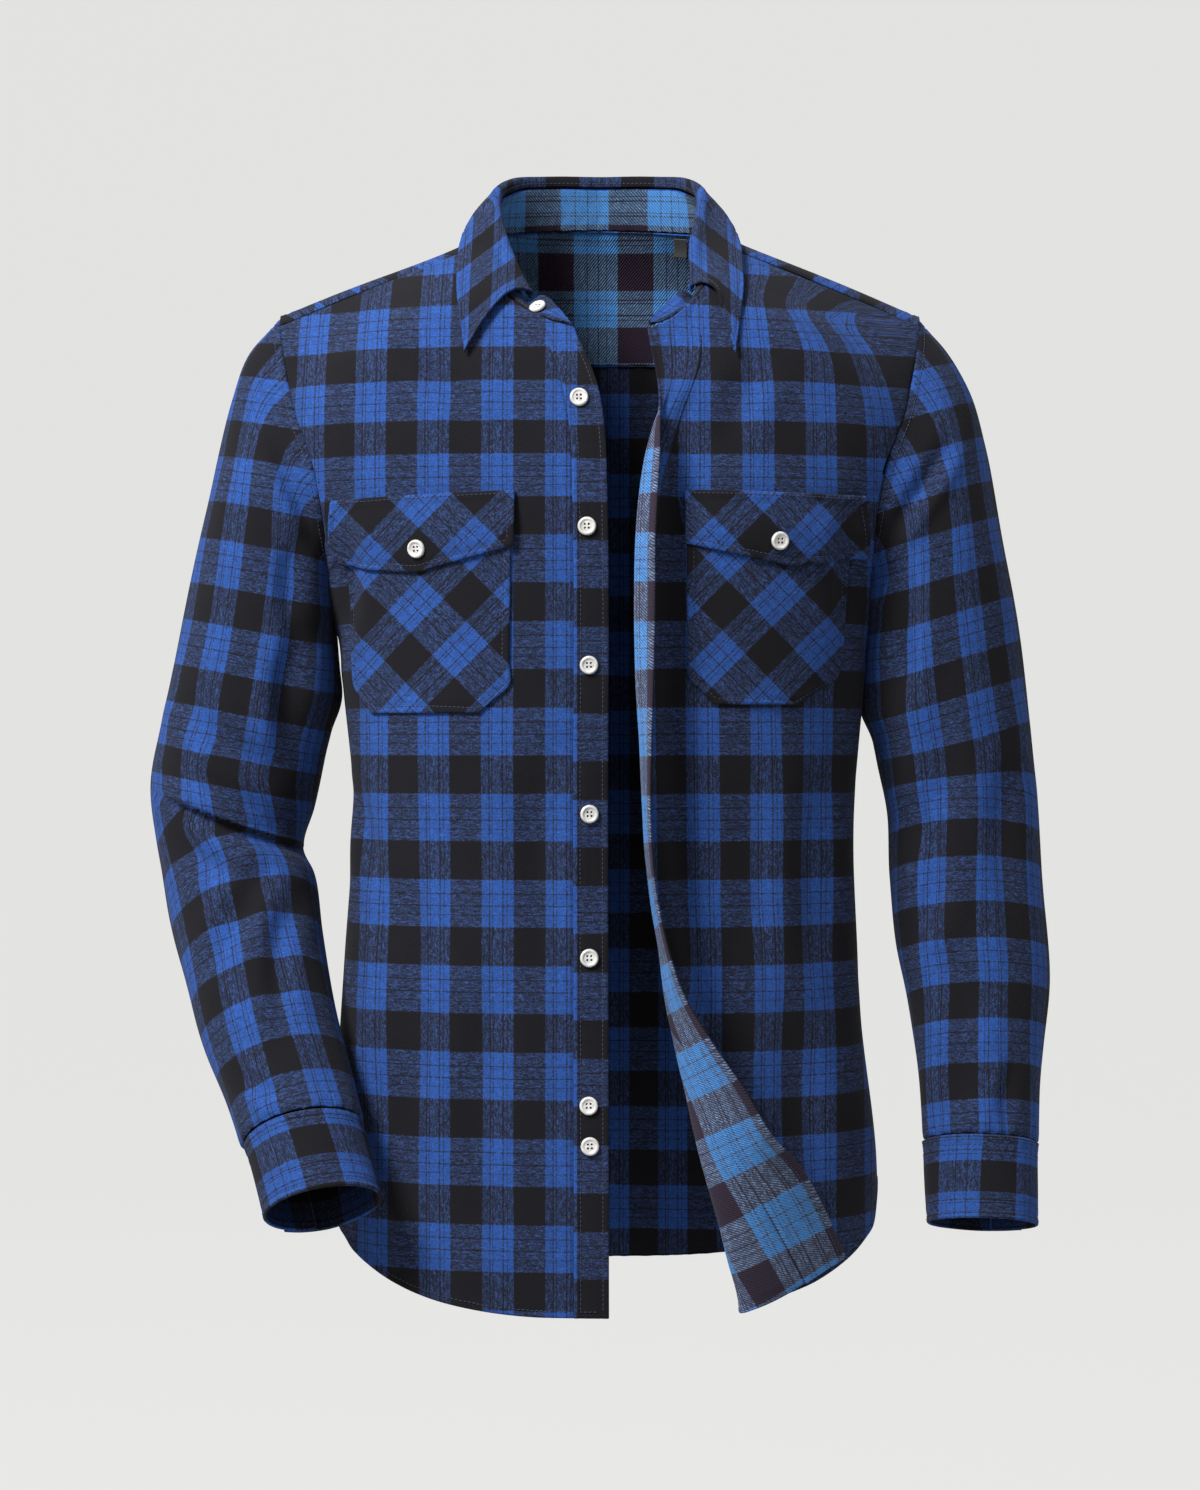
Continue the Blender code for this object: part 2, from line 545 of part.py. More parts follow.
def evened(panel, first, share):
    """The panel with its rows above the first drawn towards the patch that their four edges span."""
    part = panel[first:]
    v, u = np.linspace(0, 1, len(part))[:, None, None], share[:, None]
    low, top, inner, outer = part[0], part[-1], part[:, :1], part[:, -1:]
    corners = (low[0] * (1 - u) + low[-1] * u) * (1 - v) + (top[0] * (1 - u) + top[-1] * u) * v
    patch = low * (1 - v) + top * v + inner * (1 - u) + outer * u - corners
    panel[first:] = part + (patch - part) * ease(v, 0.0, 0.9)
    return panel


def stand_off(side, x, z, off):
    """Points in front of the chest at x, z, moved outwards from it by off."""
    x, z = np.asarray(x, float), np.asarray(z, float)
    step = 0.002
    y = torso(side, x, z)
    dx = (torso(side, x + step, z) - torso(side, np.maximum(x - step, 0), z)) / (2 * step)
    dz = (torso(side, x, z + step) - torso(side, x, z - step)) / (2 * step)
    out = np.stack([side * dx, -np.ones_like(dx), dz], -1)
    out = np.clip(out, -1.2, 1.2)
    out /= np.linalg.norm(out, axis=-1, keepdims=True)
    return np.stack([side * x, y, z], -1) + out * np.asarray(off)[..., None]


def back_grid():
    """The back, from the hem to the yoke's seam, right to left."""
    s = np.linspace(-1, 1, COLS_BACK + 1)
    arm = armhole_stretch(ARMPIT, YOKE_BACK, BACK_ARM)
    seam = back_seam()
    rows = []
    for up in np.linspace(0, 1, ROWS_BODY + 1):
        share = np.abs(s)
        for _ in range(6):
            chest = CHEST_ROW[0] + (CHEST_ROW[1] - CHEST_ROW[0]) * share ** 2
            z = read(HEM, "back", share) * (1 - up) + chest * up
            share = spread_x(1, z, np.abs(s), 0.0, False) / edge_of(1, z, False)[0]
        rows.append(back_points(s, z))
    for k in range(1, BACK_ARM + 1):
        mid = CHEST_ROW[0] + (seam[COLS_BACK // 2, 2] - CHEST_ROW[0]) * k / BACK_ARM
        z = mid + (arm[k, 2] - mid) * np.abs(s) ** 2.2
        rows.append(back_points(s, seam[:, 2] if k == BACK_ARM else z))
    return np.array(rows)


# ---------------------------------------------------------------- collar
# the collar's fold, then the stand's free top edge, on each side of the middle of the back
FOLD_RIGHT = table(
    "run x y z",
    (0.00, 0.0000, 0.0600, 0.0550),
    (0.20, 0.0370, 0.0530, 0.0542),
    (0.38, 0.0620, 0.0330, 0.0485),
    (0.50, 0.0705, 0.0060, 0.0350),
    (0.58, 0.0685, -0.0160, 0.0170),
    (0.67, 0.0635, -0.0360, -0.0020),
    (0.76, 0.0565, -0.0540, -0.0210),
    (0.86, 0.0449, -0.0720, -0.0452),
    (0.93, 0.0359, -0.0850, -0.0502),
    (0.985, 0.0216, -0.0990, -0.0665),
    (1.00, 0.0188, -0.1030, -0.0705),
)
FOLD_LEFT = table(
    "run x y z",
    (0.00, 0.0000, 0.0600, 0.0550),
    (0.20, 0.0370, 0.0530, 0.0542),
    (0.38, 0.0615, 0.0330, 0.0485),
    (0.50, 0.0690, 0.0060, 0.0350),
    (0.58, 0.0665, -0.0160, 0.0150),
    (0.67, 0.0615, -0.0380, -0.0050),
    (0.76, 0.0603, -0.0560, -0.0235),
    (0.84, 0.0599, -0.0710, -0.0415),
    (0.90, 0.0545, -0.0790, -0.0455),
    (0.95, 0.0430, -0.0880, -0.0560),
    (1.00, 0.0325, -0.1020, -0.0705),
)
# the leaf's free edge, from the middle of the back to its tip
LEAF_EDGE = table(
    "run x y z",
    (0.00, 0.0000, 0.0900, 0.0050),
    (0.20, 0.0450, 0.0830, 0.0045),
    (0.38, 0.0800, 0.0560, 0.0040),
    (0.50, 0.0955, 0.0150, 0.0040),
    (0.58, 0.0970, -0.0130, -0.0010),
    (0.67, 0.0968, -0.0450, -0.0240),
    (0.76, 0.0962, -0.0750, -0.0490),
    (0.86, 0.0908, -0.1080, -0.0905),
)
YOKE_RUN = 0.53                                # of the collar's half, where the yoke's seam meets it
LEAF_RUN = {-1: 0.86, 1: 0.84}                 # where the leaf ends, right and left
LEAF_CLEAR = 0.0030                            # least distance of the leaf from what is below it


def run_point(tab, run, side):
    return smooth(tab["run"], np.stack([tab[k] for k in "xyz"], -1), run) * (side, 1, 1)


def neck_seam(run, side):
    """The whole neck seam of one side: 0 is the middle of the back, 1 the front's end."""
    run = np.asarray(run, float)
    behind = neck_back(side, 1 - np.clip(run / YOKE_RUN, 0, 1))
    ahead = neck_front(side, 1 - np.clip((run - YOKE_RUN) / (1 - YOKE_RUN), 0, 1))
    return np.where((run < YOKE_RUN)[..., None], behind, ahead)


def collar_frame(run, side):
    """Neck seam, fold, and the directions out of the collar and up across its fold."""
    fold, near, far = (run_point(FOLD_LEFT if side > 0 else FOLD_RIGHT, np.clip(run + d, 0, 1), side)
                       for d in (0.0, -0.04, 0.04))
    line = (far - near) * side
    line /= np.linalg.norm(line)
    out = fold * (1, 1, 0) + (0, 0.01, 0)
    out -= line * (out @ line)
    out /= np.linalg.norm(out)
    return neck_seam(run, side), fold, out, np.cross(line, out)


def collar_lines(run, side):
    """The neck seam, the stand's top and the collar's fold at one place."""
    low, fold, out, up = collar_frame(run, side)
    covered = 1 - ease(run, LEAF_RUN[side] + 0.010, LEAF_RUN[side] + 0.050)
    return low, fold + (out * 0.0014 - up * 0.0072) * covered, fold


def both_sides(count, whole=True):
    """Places (run, side) from the collar's right end to its left; the leaf is shorter than the whole."""
    places = []
    for side in (-1, 1):
        last = LEAF_RUN[side] + (0.008 if whole else 0)
        run = np.append(np.linspace(0, last, count + 1), np.linspace(last, 1, 5)[1:] if whole else [])
        places.append([(r, side) for r in (run[::-1] if side < 0 else run[1:])])
    return places[0] + places[1]


def stand_grid():
    """Outer face of the stand, from its neck seam up to the leaf."""
    rows = []
    for run, side in both_sides(COLS_COLLAR // 2 - 3):
        low, top, _fold = collar_lines(np.array(run), side)
        seat = stand_seat(low, top, run)
        f = np.linspace(0, 1, ROWS_STAND + 1)[:, None]
        rows.append(seat * (1 - f) + top * f)
    return np.swapaxes(np.array(rows), 0, 1)


def stand_seat(low, top, run):
    """The stand's lower edge, clear of the panels' edges, which lie across it in front."""
    up = (top - low) / np.linalg.norm(top - low)
    return low + up * (SEAM + 0.0005 + 0.0030 * ease(run, 0.5, 0.7))


def held_off(points, faces, least, reach=0.009):
    """Points pushed out to at least this height over the faces near them: faces are (points, normals)."""
    gap = points[:, None] - faces[0]
    weight = np.exp(-(gap ** 2).sum(-1) / (2 * reach ** 2))
    normal = weight @ faces[1]
    normal /= np.maximum(np.linalg.norm(normal, axis=1, keepdims=True), 1e-12)
    height = ((gap * normal[:, None]).sum(-1) * weight).sum(1) / np.maximum(weight.sum(1), 1e-12)
    return points + normal * (np.maximum(least - height, 0) * ease(weight.sum(1), 0.02, 0.3))[:, None]


def finer(grid, times):
    """The grid with each cell parted into times by times."""
    for axis in (0, 1):
        n = grid.shape[axis]
        at = np.linspace(0, n - 1, (n - 1) * times + 1)
        low = np.minimum(at.astype(int), n - 2)
        part = (at - low).reshape((-1, 1, 1) if axis == 0 else (1, -1, 1))
        grid = np.take(grid, low, axis) * (1 - part) + np.take(grid, low + 1, axis) * part
    return grid


def leaf_grid(under):
    """Face of the leaf: up from the stand, over the fold, and down outside it to the free edge."""
    rows = []
    for run, side in both_sides(COLS_COLLAR // 2 - 2, False):
        low, fold, out, up = collar_frame(np.array(run), side)
        top = fold + out * 0.0014 - up * 0.0072
        edge = run_point(LEAF_EDGE, np.array(run / LEAF_RUN[side] * LEAF_EDGE["run"][-1]), side)
        start = top - out * TWO_PLY * 0.95 + up * 0.0026
        crest = fold + out * LEAF_ROLL * 0.75 + up * LEAF_ROLL * 0.35
        over = fold + out * LEAF_ROLL * 1.9 - up * LEAF_ROLL * 0.6
        middle = over * 0.45 + edge * 0.55 + out * 0.0040
        line = np.array([start, start * 0.45 + fold * 0.55 - out * 0.0003, crest, over, middle, edge])
        knots = np.concatenate([[0], np.cumsum(np.linalg.norm(np.diff(line, axis=0), axis=1))])
        at = np.concatenate([np.linspace(0, knots[3], 5), np.linspace(knots[3], knots[-1], 5)[1:]])
        points = smooth(knots, line, at)
        for _ in range(3):
            points[4:] = held_off(points[4:], under, TWO_PLY + LEAF_CLEAR)
        rows.append(points)
    return np.swapaxes(np.array(rows), 0, 1)


# ---------------------------------------------------------------- cuffs
def cuff_grid(tab, side):
    """Outer face of a cuff: once round the wrist, then on over its own start, where it is buttoned."""
    last = tab["key"][-1]
    rows = np.linspace(last - CUFF_ROWS + 0.025, last, 4)
    girth = 2 * math.pi * (tab["depth"][-1] + (tab["out_x"][-1] - tab["in_x"][-1]) / 2) / 2
    lap = CUFF_LAP / girth * 2 * math.pi
    begin = -0.42 * math.pi                         # a quarter turn behind the outer end
    angle = np.linspace(begin, begin + 2 * math.pi + lap, 27)
    lift = ease(angle, begin + 2 * math.pi - 0.75, begin + 2 * math.pi - 0.12) * (TWO_PLY + 0.0009)
    grid = ring(tab, rows[:, None] + 0 * angle, angle + 0 * rows[:, None])
    return (grid + face_normals(grid, False) * lift[None, :, None]) * (side, 1, 1)


# ---------------------------------------------------------------- pockets and flaps
# outlines on the chest: distance from the middle of the inner and outer edge at each height
POCKET_RIGHT = table("z inner outer", (-0.3318, 0.0800, 0.1540), (-0.3140, 0.0605, 0.1668),
                     (-0.2700, 0.0602, 0.1705), (-0.2000, 0.0590, 0.1735))
POCKET_LEFT = table("z inner outer", (-0.3262, 0.0760, 0.1320), (-0.3080, 0.0590, 0.1600),
                    (-0.2680, 0.0582, 0.1675), (-0.1960, 0.0578, 0.1705))
# flaps: top and bottom edge at each distance from the middle
FLAP_RIGHT = table("x top bottom", (0.0567, -0.1835, -0.2205), (0.0870, -0.1846, -0.2285),
                   (0.1228, -0.1858, -0.2376), (0.1500, -0.1866, -0.2345), (0.1720, -0.1872, -0.2310),
                   (0.1800, -0.1873, -0.2160))
FLAP_LEFT = table("x top bottom", (0.0567, -0.1829, -0.2192), (0.0868, -0.1833, -0.2255),
                  (0.1255, -0.1840, -0.2328), (0.1549, -0.1845, -0.2285), (0.1783, -0.1842, -0.2245))
POCKET_OFF, FLAP_OFF = LIFT + CLOTH + 0.0003, 2 * LIFT + 2 * CLOTH + 0.0010


def on_chest(side, x, z, off):
    """Points at x, z on a front, moved off it; the left front's hollow is followed."""
    if side > 0:
        off = off + beside_fold(x, z)
    return stand_off(side, x, z, off)


def straight(tab, name, at):
    return np.interp(at, tab["key"], tab[name])


def even_x(side, z, inner, outer, count):
    """Distances from the middle that are evenly spaced round the chest at height z."""
    half = section(side, z)[2]
    a, b = (np.arcsin(np.clip(x / half, 0, 1) ** (POWER / 2)) for x in (inner, outer))
    return half * np.sin(a + (b - a) * np.linspace(0, 1, count)) ** (2 / POWER)


def pocket_grid(side, tab):
    low, middle, top = tab["z"][0], tab["z"][1], tab["z"][-1]
    z = np.append(np.linspace(low, middle, 3)[:-1], np.linspace(middle, top, 8))
    inner, outer = straight(tab, "inner", z), straight(tab, "outer", z)
    x = np.array([even_x(side, z[i], inner[i], outer[i], 12) for i in range(len(z))])
    return on_chest(side, x, z[:, None] + 0 * x, 0 * x + POCKET_OFF)


def flap_grid(side, tab):
    x = even_x(side, tab["top"].mean(), tab["x"][0], tab["x"][-1], 13)
    point = tab["x"][np.argmin(tab["bottom"])]
    x[np.argmin(np.abs(x - point))] = point
    top, low = straight(tab, "top", x), straight(tab, "bottom", x)
    h = np.linspace(0, 1, 5)[:, None]
    z = low * (1 - h) + top * h
    swell = 0.0010 * np.sin(math.pi * np.minimum(h * 1.3, 1))           # over the pocket's mouth
    sewn = (FLAP_OFF - LIFT - CLOTH - 0.0007) * ease(h, 0.6, 1)         # down to the panel along its top
    return on_chest(side, x + 0 * z, z, FLAP_OFF + swell - sewn + 0 * z)


# ---------------------------------------------------------------- walls
def face_normals(grid, closed):
    """Outward normals at the points of a grid whose rows go up and columns go round."""
    g = np.concatenate([grid[:, -1:], grid, grid[:, :1]], 1) if closed else grid
    n = np.cross(np.gradient(g, axis=1), np.gradient(g, axis=0))
    n = n[:, 1:-1] if closed else n
    return n / np.maximum(np.linalg.norm(n, axis=-1, keepdims=True), 1e-12)


def away(near, far, tangent):
    """Unit directions from near to far, across the seam's own direction."""
    t = tangent / np.maximum(np.linalg.norm(tangent, axis=-1, keepdims=True), 1e-12)
    d = far - near
    d = d - (d * t).sum(-1, keepdims=True) * t
    return d / np.maximum(np.linalg.norm(d, axis=-1, keepdims=True), 1e-12)


def rim_of(grid, closed):
    """The rim's points, and for each the direction in the cloth away from its seam."""
    out, mask = np.zeros_like(grid), np.zeros(grid.shape[:2], bool)
    along_rows, along_cols = np.gradient(grid, axis=1), np.gradient(grid, axis=0)
    for near, far in ((0, 1), (-1, -2)):
        out[near] += away(grid[near], grid[far], along_rows[near])
        mask[near] = True
        if not closed:
            out[:, near] += away(grid[:, near], grid[:, far], along_cols[:, near])
            mask[:, near] = True
    return out, mask


def rim_lines(grid, closed, *fields):
    """The rim's edges, as pairs of ends of each field: (edges, 2, 3)."""
    lines = []
    for field in (grid, *fields):
        runs = [field[0], field[-1]] + ([] if closed else [field[:, 0], field[:, -1]])
        if closed:
            runs = [np.concatenate([r, r[:1]]) for r in runs]
        lines.append(np.concatenate([np.stack([r[:-1], r[1:]], 1) for r in runs]))
    return lines


def on_lines(point, edges):
    """Edges that a point lies on, and how far along each."""
    start, run = edges[:, 0], edges[:, 1] - edges[:, 0]
    u = np.clip(((point - start) * run).sum(1) / np.maximum((run * run).sum(1), 1e-15), 0, 1)
    hit = np.nonzero(np.linalg.norm(start + run * u[:, None] - point, axis=1) < 3e-5)[0]
    return [(k, u[k]) for k in hit]


def join_seams(pieces):
    """Give points that pieces share one thickening direction, and part the pieces by the seam gap."""
    facts = {}
    for name, (grid, closed, flip) in pieces.items():
        normal = face_normals(grid, closed) * (-1 if flip else 1)
        apart, mask = rim_of(grid, closed)
        apart /= np.maximum(np.linalg.norm(apart, axis=-1, keepdims=True), 1e-9)
        facts[name] = (normal, apart, mask, rim_lines(grid, closed, normal, apart))
    joined = {}
    for name, (grid, closed, flip) in pieces.items():
        normal, apart, mask, _lines = facts[name]
        inner_dir, outer = normal.copy(), grid.copy()
        for i, j in zip(*np.nonzero(mask)):
            own, total, shift, partners = normal[i, j], normal[i, j].copy(), np.zeros(3), 0
            for other in pieces:
                edges, normals, aways = facts[other][3]
                hits = [] if other == name else on_lines(grid[i, j], edges)
                if not hits:
                    continue
                k, u = hits[0]
                n2 = normals[k, 0] * (1 - u) + normals[k, 1] * u
                d2 = np.mean([aways[k, 0] * (1 - u) + aways[k, 1] * u for k, u in hits], axis=0)
                gone = apart[i, j] - d2 / max(np.linalg.norm(d2), 1e-9)
                shift += gone / max(np.linalg.norm(gone), 1e-9)
                partners += 1
                if own @ d2 < 0.12:
                    total += n2
            if partners:
                total /= np.linalg.norm(total)
                inner_dir[i, j] = total / max(total @ own, 0.55)
                outer[i, j] += shift * SEAM / 2
        joined[name] = (outer, inner_dir, closed, flip)
    return joined


def wall(name, outer, inner_dir, thick, closed=False, flip=False, raised=0.0):
    """A closed solid: the outer grid, the same grid moved in, and rims between them."""
    inner = outer - inner_dir * thick
    outer = outer + inner_dir * raised
    rows, cols = outer.shape[:2]
    half = rows * cols
    span = cols if closed else cols - 1

    def at(i, j):
        return (i % rows) * cols + j % cols

    faces = []
    for i in range(rows - 1):
        for j in range(span):
            a, b, c, d = at(i, j), at(i, j + 1), at(i + 1, j + 1), at(i + 1, j)
            faces += [(a, b, c, d), (d + half, c + half, b + half, a + half)]
    rims = [(at(0, j + 1), at(0, j)) for j in range(span)] + [(at(-1, j), at(-1, j + 1)) for j in range(span)]
    if not closed:
        rims += [(at(i, 0), at(i + 1, 0)) for i in range(rows - 1)]
        rims += [(at(i + 1, cols - 1), at(i, cols - 1)) for i in range(rows - 1)]
    faces += [(a, b, b + half, a + half) for a, b in rims]
    if flip:
        faces = [f[::-1] for f in faces]
    return solid(name, np.concatenate([outer.reshape(-1, 3), inner.reshape(-1, 3)]), faces)


def solid(name, verts, faces, finish=None):
    mesh = bpy.data.meshes.new(name)
    mesh.from_pydata([tuple(map(float, v)) for v in verts], [], faces)
    mesh.update()
    obj = bpy.data.objects.new(name, mesh)
    obj.data.materials.append(finish or FLANNEL)
    HOME.objects.link(obj)
    return obj


def own_wall(name, grid, thick, flip=False, raised=0.0):
    """A wall that meets no seam partner."""
    return wall(name, grid, face_normals(grid, False) * (-1 if flip else 1), thick, False, flip, raised)


# ---------------------------------------------------------------- buttons
# share of the radius and of the thickness at each ring, from the back's middle round to the front's
BUTTON_SHAPE = ((0.86, 0.00), (1.00, 0.38), (0.97, 0.80), (0.84, 1.00), (0.66, 0.80))


def button(name, centre, out, radius=BUTTON_R):
    """A dished disc whose back's middle is at centre and whose face looks along out."""
    out = np.asarray(out, float) / np.linalg.norm(out)
    across = np.cross(out, (0, 0, 1.0))
    across /= np.linalg.norm(across)
    up = np.cross(across, out)
    turn = np.linspace(0, 2 * math.pi, 15)[:-1]
    verts = [centre]
    for r, h in BUTTON_SHAPE:
        ring_at = centre + out * h * BUTTON_T
        verts += [ring_at + radius * r * (across * math.cos(a) + up * math.sin(a)) for a in turn]
    verts.append(centre + out * 0.76 * BUTTON_T)
    n, faces = len(turn), []
    for j in range(n):
        k = (j + 1) % n
        faces.append((0, 1 + j, 1 + k))
        for i in range(len(BUTTON_SHAPE) - 1):
            a, b = 1 + i * n, 1 + (i + 1) * n
            faces.append((a + j, b + j, b + k, a + k))
        top = 1 + (len(BUTTON_SHAPE) - 1) * n
        faces.append((top + j, len(verts) - 1, top + k))
    return solid(name, verts, faces, PEARL)


def frame_at(grid, i, j):
    """The point and outward normal of a grid at a place between its points."""
    i0, j0 = int(i), int(j)
    u, v = i - i0, j - j0
    rows, cols = (i0, min(i0 + 1, grid.shape[0] - 1)), (j0, min(j0 + 1, grid.shape[1] - 1))
    share = np.outer((1 - u, u), (1 - v, v))[..., None]
    cell = np.ix_(rows, cols)
    normal = (face_normals(grid, False)[cell] * share).sum((0, 1))
    return (grid[cell] * share).sum((0, 1)), normal / np.linalg.norm(normal)


def material(name, colour, rough):
    mat = bpy.data.materials.new(name)
    mat.use_nodes = True
    shader = mat.node_tree.nodes["Principled BSDF"]
    shader.inputs["Base Color"].default_value = (*colour, 1)
    shader.inputs["Roughness"].default_value = rough
    return mat


for old in list(bpy.data.objects):
    bpy.data.objects.remove(old)
HOME = bpy.data.collections.new("flannel_shirt")
bpy.context.scene.collection.children.link(HOME)
FLANNEL = material("flannel", (0.05, 0.09, 0.22), 0.95)
PEARL = material("pearl_button", (0.80, 0.78, 0.74), 0.35)
TAPE = material("label_tape", (0.03, 0.03, 0.035), 0.8)

# ---------------------------------------------------------------- sewn pieces
right_panel, right_band = right_front_grids()
left_panel, left_strip = left_front_grids()
sleeves = {"right": sleeve_points(SLEEVE_RIGHT, -1, np.arange(len(SLEEVE_RIGHT["key"]) - CUFF_ROWS)),
           "left": sleeve_points(SLEEVE_LEFT, 1, np.arange(len(SLEEVE_LEFT["key"]) - CUFF_ROWS))}
pieces = {
    "front_right": (right_panel[:, ::-1], False, False),
    "band_right": (right_band, False, False),
    "front_left": (left_panel, False, False),
    "placket_left": (left_strip, False, False),
    "back": (back_grid()[:, ::-1], False, False),
    "yoke": (yoke_grid()[:, ::-1], False, True),
    "sleeve_right": (sleeves["right"], True, True),
    "sleeve_left": (sleeves["left"], True, False),
}
for name, (outer, direction, closed, flip) in join_seams(pieces).items():
    two_ply = name in ("band_right", "placket_left")
    wall(name, outer, direction, 0.0016 if two_ply else CLOTH, closed, flip, 0.0004 if two_ply else 0.0)

stand = stand_grid()
own_wall("collar_stand", stand, TWO_PLY, flip=True)
beneath = [(right_panel[ROWS_BODY + 1:, ::-1], 1), (left_panel[ROWS_BODY + 1:], 1),
           (yoke_grid()[:, ::-1], -1), (stand, -1)]              # what the leaf lies on, and its outer side
beneath = [(finer(grid, 3), sign) for grid, sign in beneath]
beneath = (np.concatenate([grid.reshape(-1, 3) for grid, sign in beneath]),
           np.concatenate([face_normals(grid, False).reshape(-1, 3) * sign for grid, sign in beneath]))
own_wall("collar_leaf", leaf_grid(beneath), TWO_PLY, flip=False)
cuffs = {"right": cuff_grid(SLEEVE_RIGHT, -1), "left": cuff_grid(SLEEVE_LEFT, 1)}
own_wall("cuff_right", cuffs["right"], TWO_PLY, flip=True)
own_wall("cuff_left", cuffs["left"], TWO_PLY, flip=False)
for word, side, pocket, flap in (("right", -1, POCKET_RIGHT, FLAP_RIGHT),
                                 ("left", 1, POCKET_LEFT, FLAP_LEFT)):
    own_wall(f"pocket_{word}", pocket_grid(side, pocket), CLOTH, flip=side < 0)
    own_wall(f"flap_{word}", flap_grid(side, flap), CLOTH + 0.0002, flip=side < 0)

# ---------------------------------------------------------------- buttons and label
BUTTON_PLACES = table("z x", (-0.6215, -0.0067), (-0.5945, -0.0075), (-0.4960, -0.0070), (-0.3996, -0.0070),
                      (-0.3002, -0.0073), (-0.2077, -0.0087), (-0.1211, -0.0140))
for number, (z, x) in enumerate(zip(BUTTON_PLACES["z"][::-1], BUTTON_PLACES["x"][::-1]), 1):
    seat, face = stand_off(-1, abs(x), z, 0.0008), stand_off(-1, abs(x), z, 0.01)
    button(f"button_front_{number}", seat, face - seat)
for word, side, x, z in (("right", -1, 0.1227, -0.2215), ("left", 1, 0.1206, -0.2162)):
    seat, face = on_chest(side, x, z, FLAP_OFF + 0.0017), on_chest(side, x, z, 0.02)
    button(f"button_flap_{word}", seat, face - seat)
seat, face = frame_at(stand, 1.55, 3.1)
button("button_stand", seat - face * 0.0009, -face, BUTTON_R * 0.95)
for word in ("right", "left"):
    seat, face = frame_at(cuffs[word], 1.5, cuffs[word].shape[1] - 2.0)
    face = face * (-1 if word == "right" else 1)
    button(f"button_cuff_{word}", seat + face * 0.0005, face, BUTTON_R * 0.9)

# the label hangs inside the yoke, from the back neck seam
yoke = yoke_grid()
label = []
for i in np.linspace(0.03, 0.155, 4) * ROWS_YOKE:
    seats = [frame_at(yoke, i, j) for j in
             np.linspace(TOP_ARM + COLS_BACK * 0.775, TOP_ARM + COLS_BACK * 0.865, 4)]
    label.append([point - out * (CLOTH + LIFT) for point, out in seats])
own_wall("neck_label", np.array(label)[:, ::-1], 0.0006, flip=True).data.materials[0] = TAPE
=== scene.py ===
"""Looks of a flannel shirt, filled out as if worn with its front open.

Every cut piece is a shell of cloth on the form of its solid: a coarse grid worked out from the
tables below, made finer by splines, then moved along its normals by creases, drape, seams and
hems. Each point also carries where it lies in the flat cut cloth, in metres, and the checks, the
weave and the nap are drawn in those. +X runs to the wearer's left, the front faces -Y, +Z is up.
"""
import functools
import math

import bpy
import numpy as np
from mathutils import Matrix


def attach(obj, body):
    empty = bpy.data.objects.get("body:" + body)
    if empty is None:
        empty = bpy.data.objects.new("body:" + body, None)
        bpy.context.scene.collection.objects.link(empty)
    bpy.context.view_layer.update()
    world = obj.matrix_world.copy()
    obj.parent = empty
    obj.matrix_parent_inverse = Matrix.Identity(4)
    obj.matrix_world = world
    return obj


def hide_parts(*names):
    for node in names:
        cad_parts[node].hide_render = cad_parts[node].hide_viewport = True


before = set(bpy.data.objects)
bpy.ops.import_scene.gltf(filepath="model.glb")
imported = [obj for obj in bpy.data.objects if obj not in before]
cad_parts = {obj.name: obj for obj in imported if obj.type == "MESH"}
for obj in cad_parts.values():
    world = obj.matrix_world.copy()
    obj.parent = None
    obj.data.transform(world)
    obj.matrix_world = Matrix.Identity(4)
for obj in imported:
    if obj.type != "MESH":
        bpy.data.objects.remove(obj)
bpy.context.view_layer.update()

# ---- driving sizes
CLOTH = 0.0013  # body cloth
TWO_PLY = 0.0020  # cuffs, collar
BAND_T = 0.0017  # button band and placket
SEAM = 0.0003  # clear gap between pieces
LIFT = 0.0006  # gap under a piece that lies on a panel
BAND_W = 0.0235  # button band
PLACKET_W = 0.031  # buttonhole placket
CUFF_LAP = 0.022  # how far a cuff's ends overlap
BUTTON_R = 0.0062  # radius of a front button
LEAF_ROLL = 0.0042  # radius of the collar's fold
SIDES = {-1: "right", 1: "left"}  # the wearer's

ROWS_BODY, ROWS_ARM = 15, 9  # rows of a front or back: hem to armpit, armpit to yoke
COLS_FRONT, COLS_BACK = 12, 24  # columns of the right front and of the back
COLS_FOLD, COLS_SIDE = 60, 7  # left front: columns round the fold, then on to the side
COLS_STRIP = 16  # columns of the buttonhole placket
TOP_ARM, BACK_ARM = 6, 8  # points of an armhole over the shoulder, and up the back
ROWS_YOKE, ROWS_STAND, COLS_COLLAR = 6, 3, 40


def table(names, *rows):
    """A table with named columns; the first column is the one it is read by."""
    names, rows = names.split(), np.array(rows, float)
    return {name: rows[:, i] for i, name in enumerate(names)} | {"key": rows[:, 0]}


def smooth(knots, values, at):
    """A smooth curve through values at uneven knots, read at any places."""
    knots, values = np.asarray(knots, float), np.asarray(values, float)
    at = np.clip(np.asarray(at, float), knots.min(), knots.max())
    slope = np.gradient(values, knots, axis=0)
    i = np.clip(np.searchsorted(knots, at, side="right") - 1, 0, len(knots) - 2)
    h = knots[i + 1] - knots[i]
    u = (at - knots[i]) / h
    if values.ndim > 1:
        h, u = h[..., None], u[..., None]
    return (
        values[i] * (1 + 2 * u) * (1 - u) ** 2
        + values[i + 1] * u * u * (3 - 2 * u)
        + h * (slope[i] * u * (1 - u) ** 2 - slope[i + 1] * u * u * (1 - u))
    )


def read(tab, name, at):
    """A table's column read along a smooth curve."""
    return smooth(tab["key"], tab[name], at)


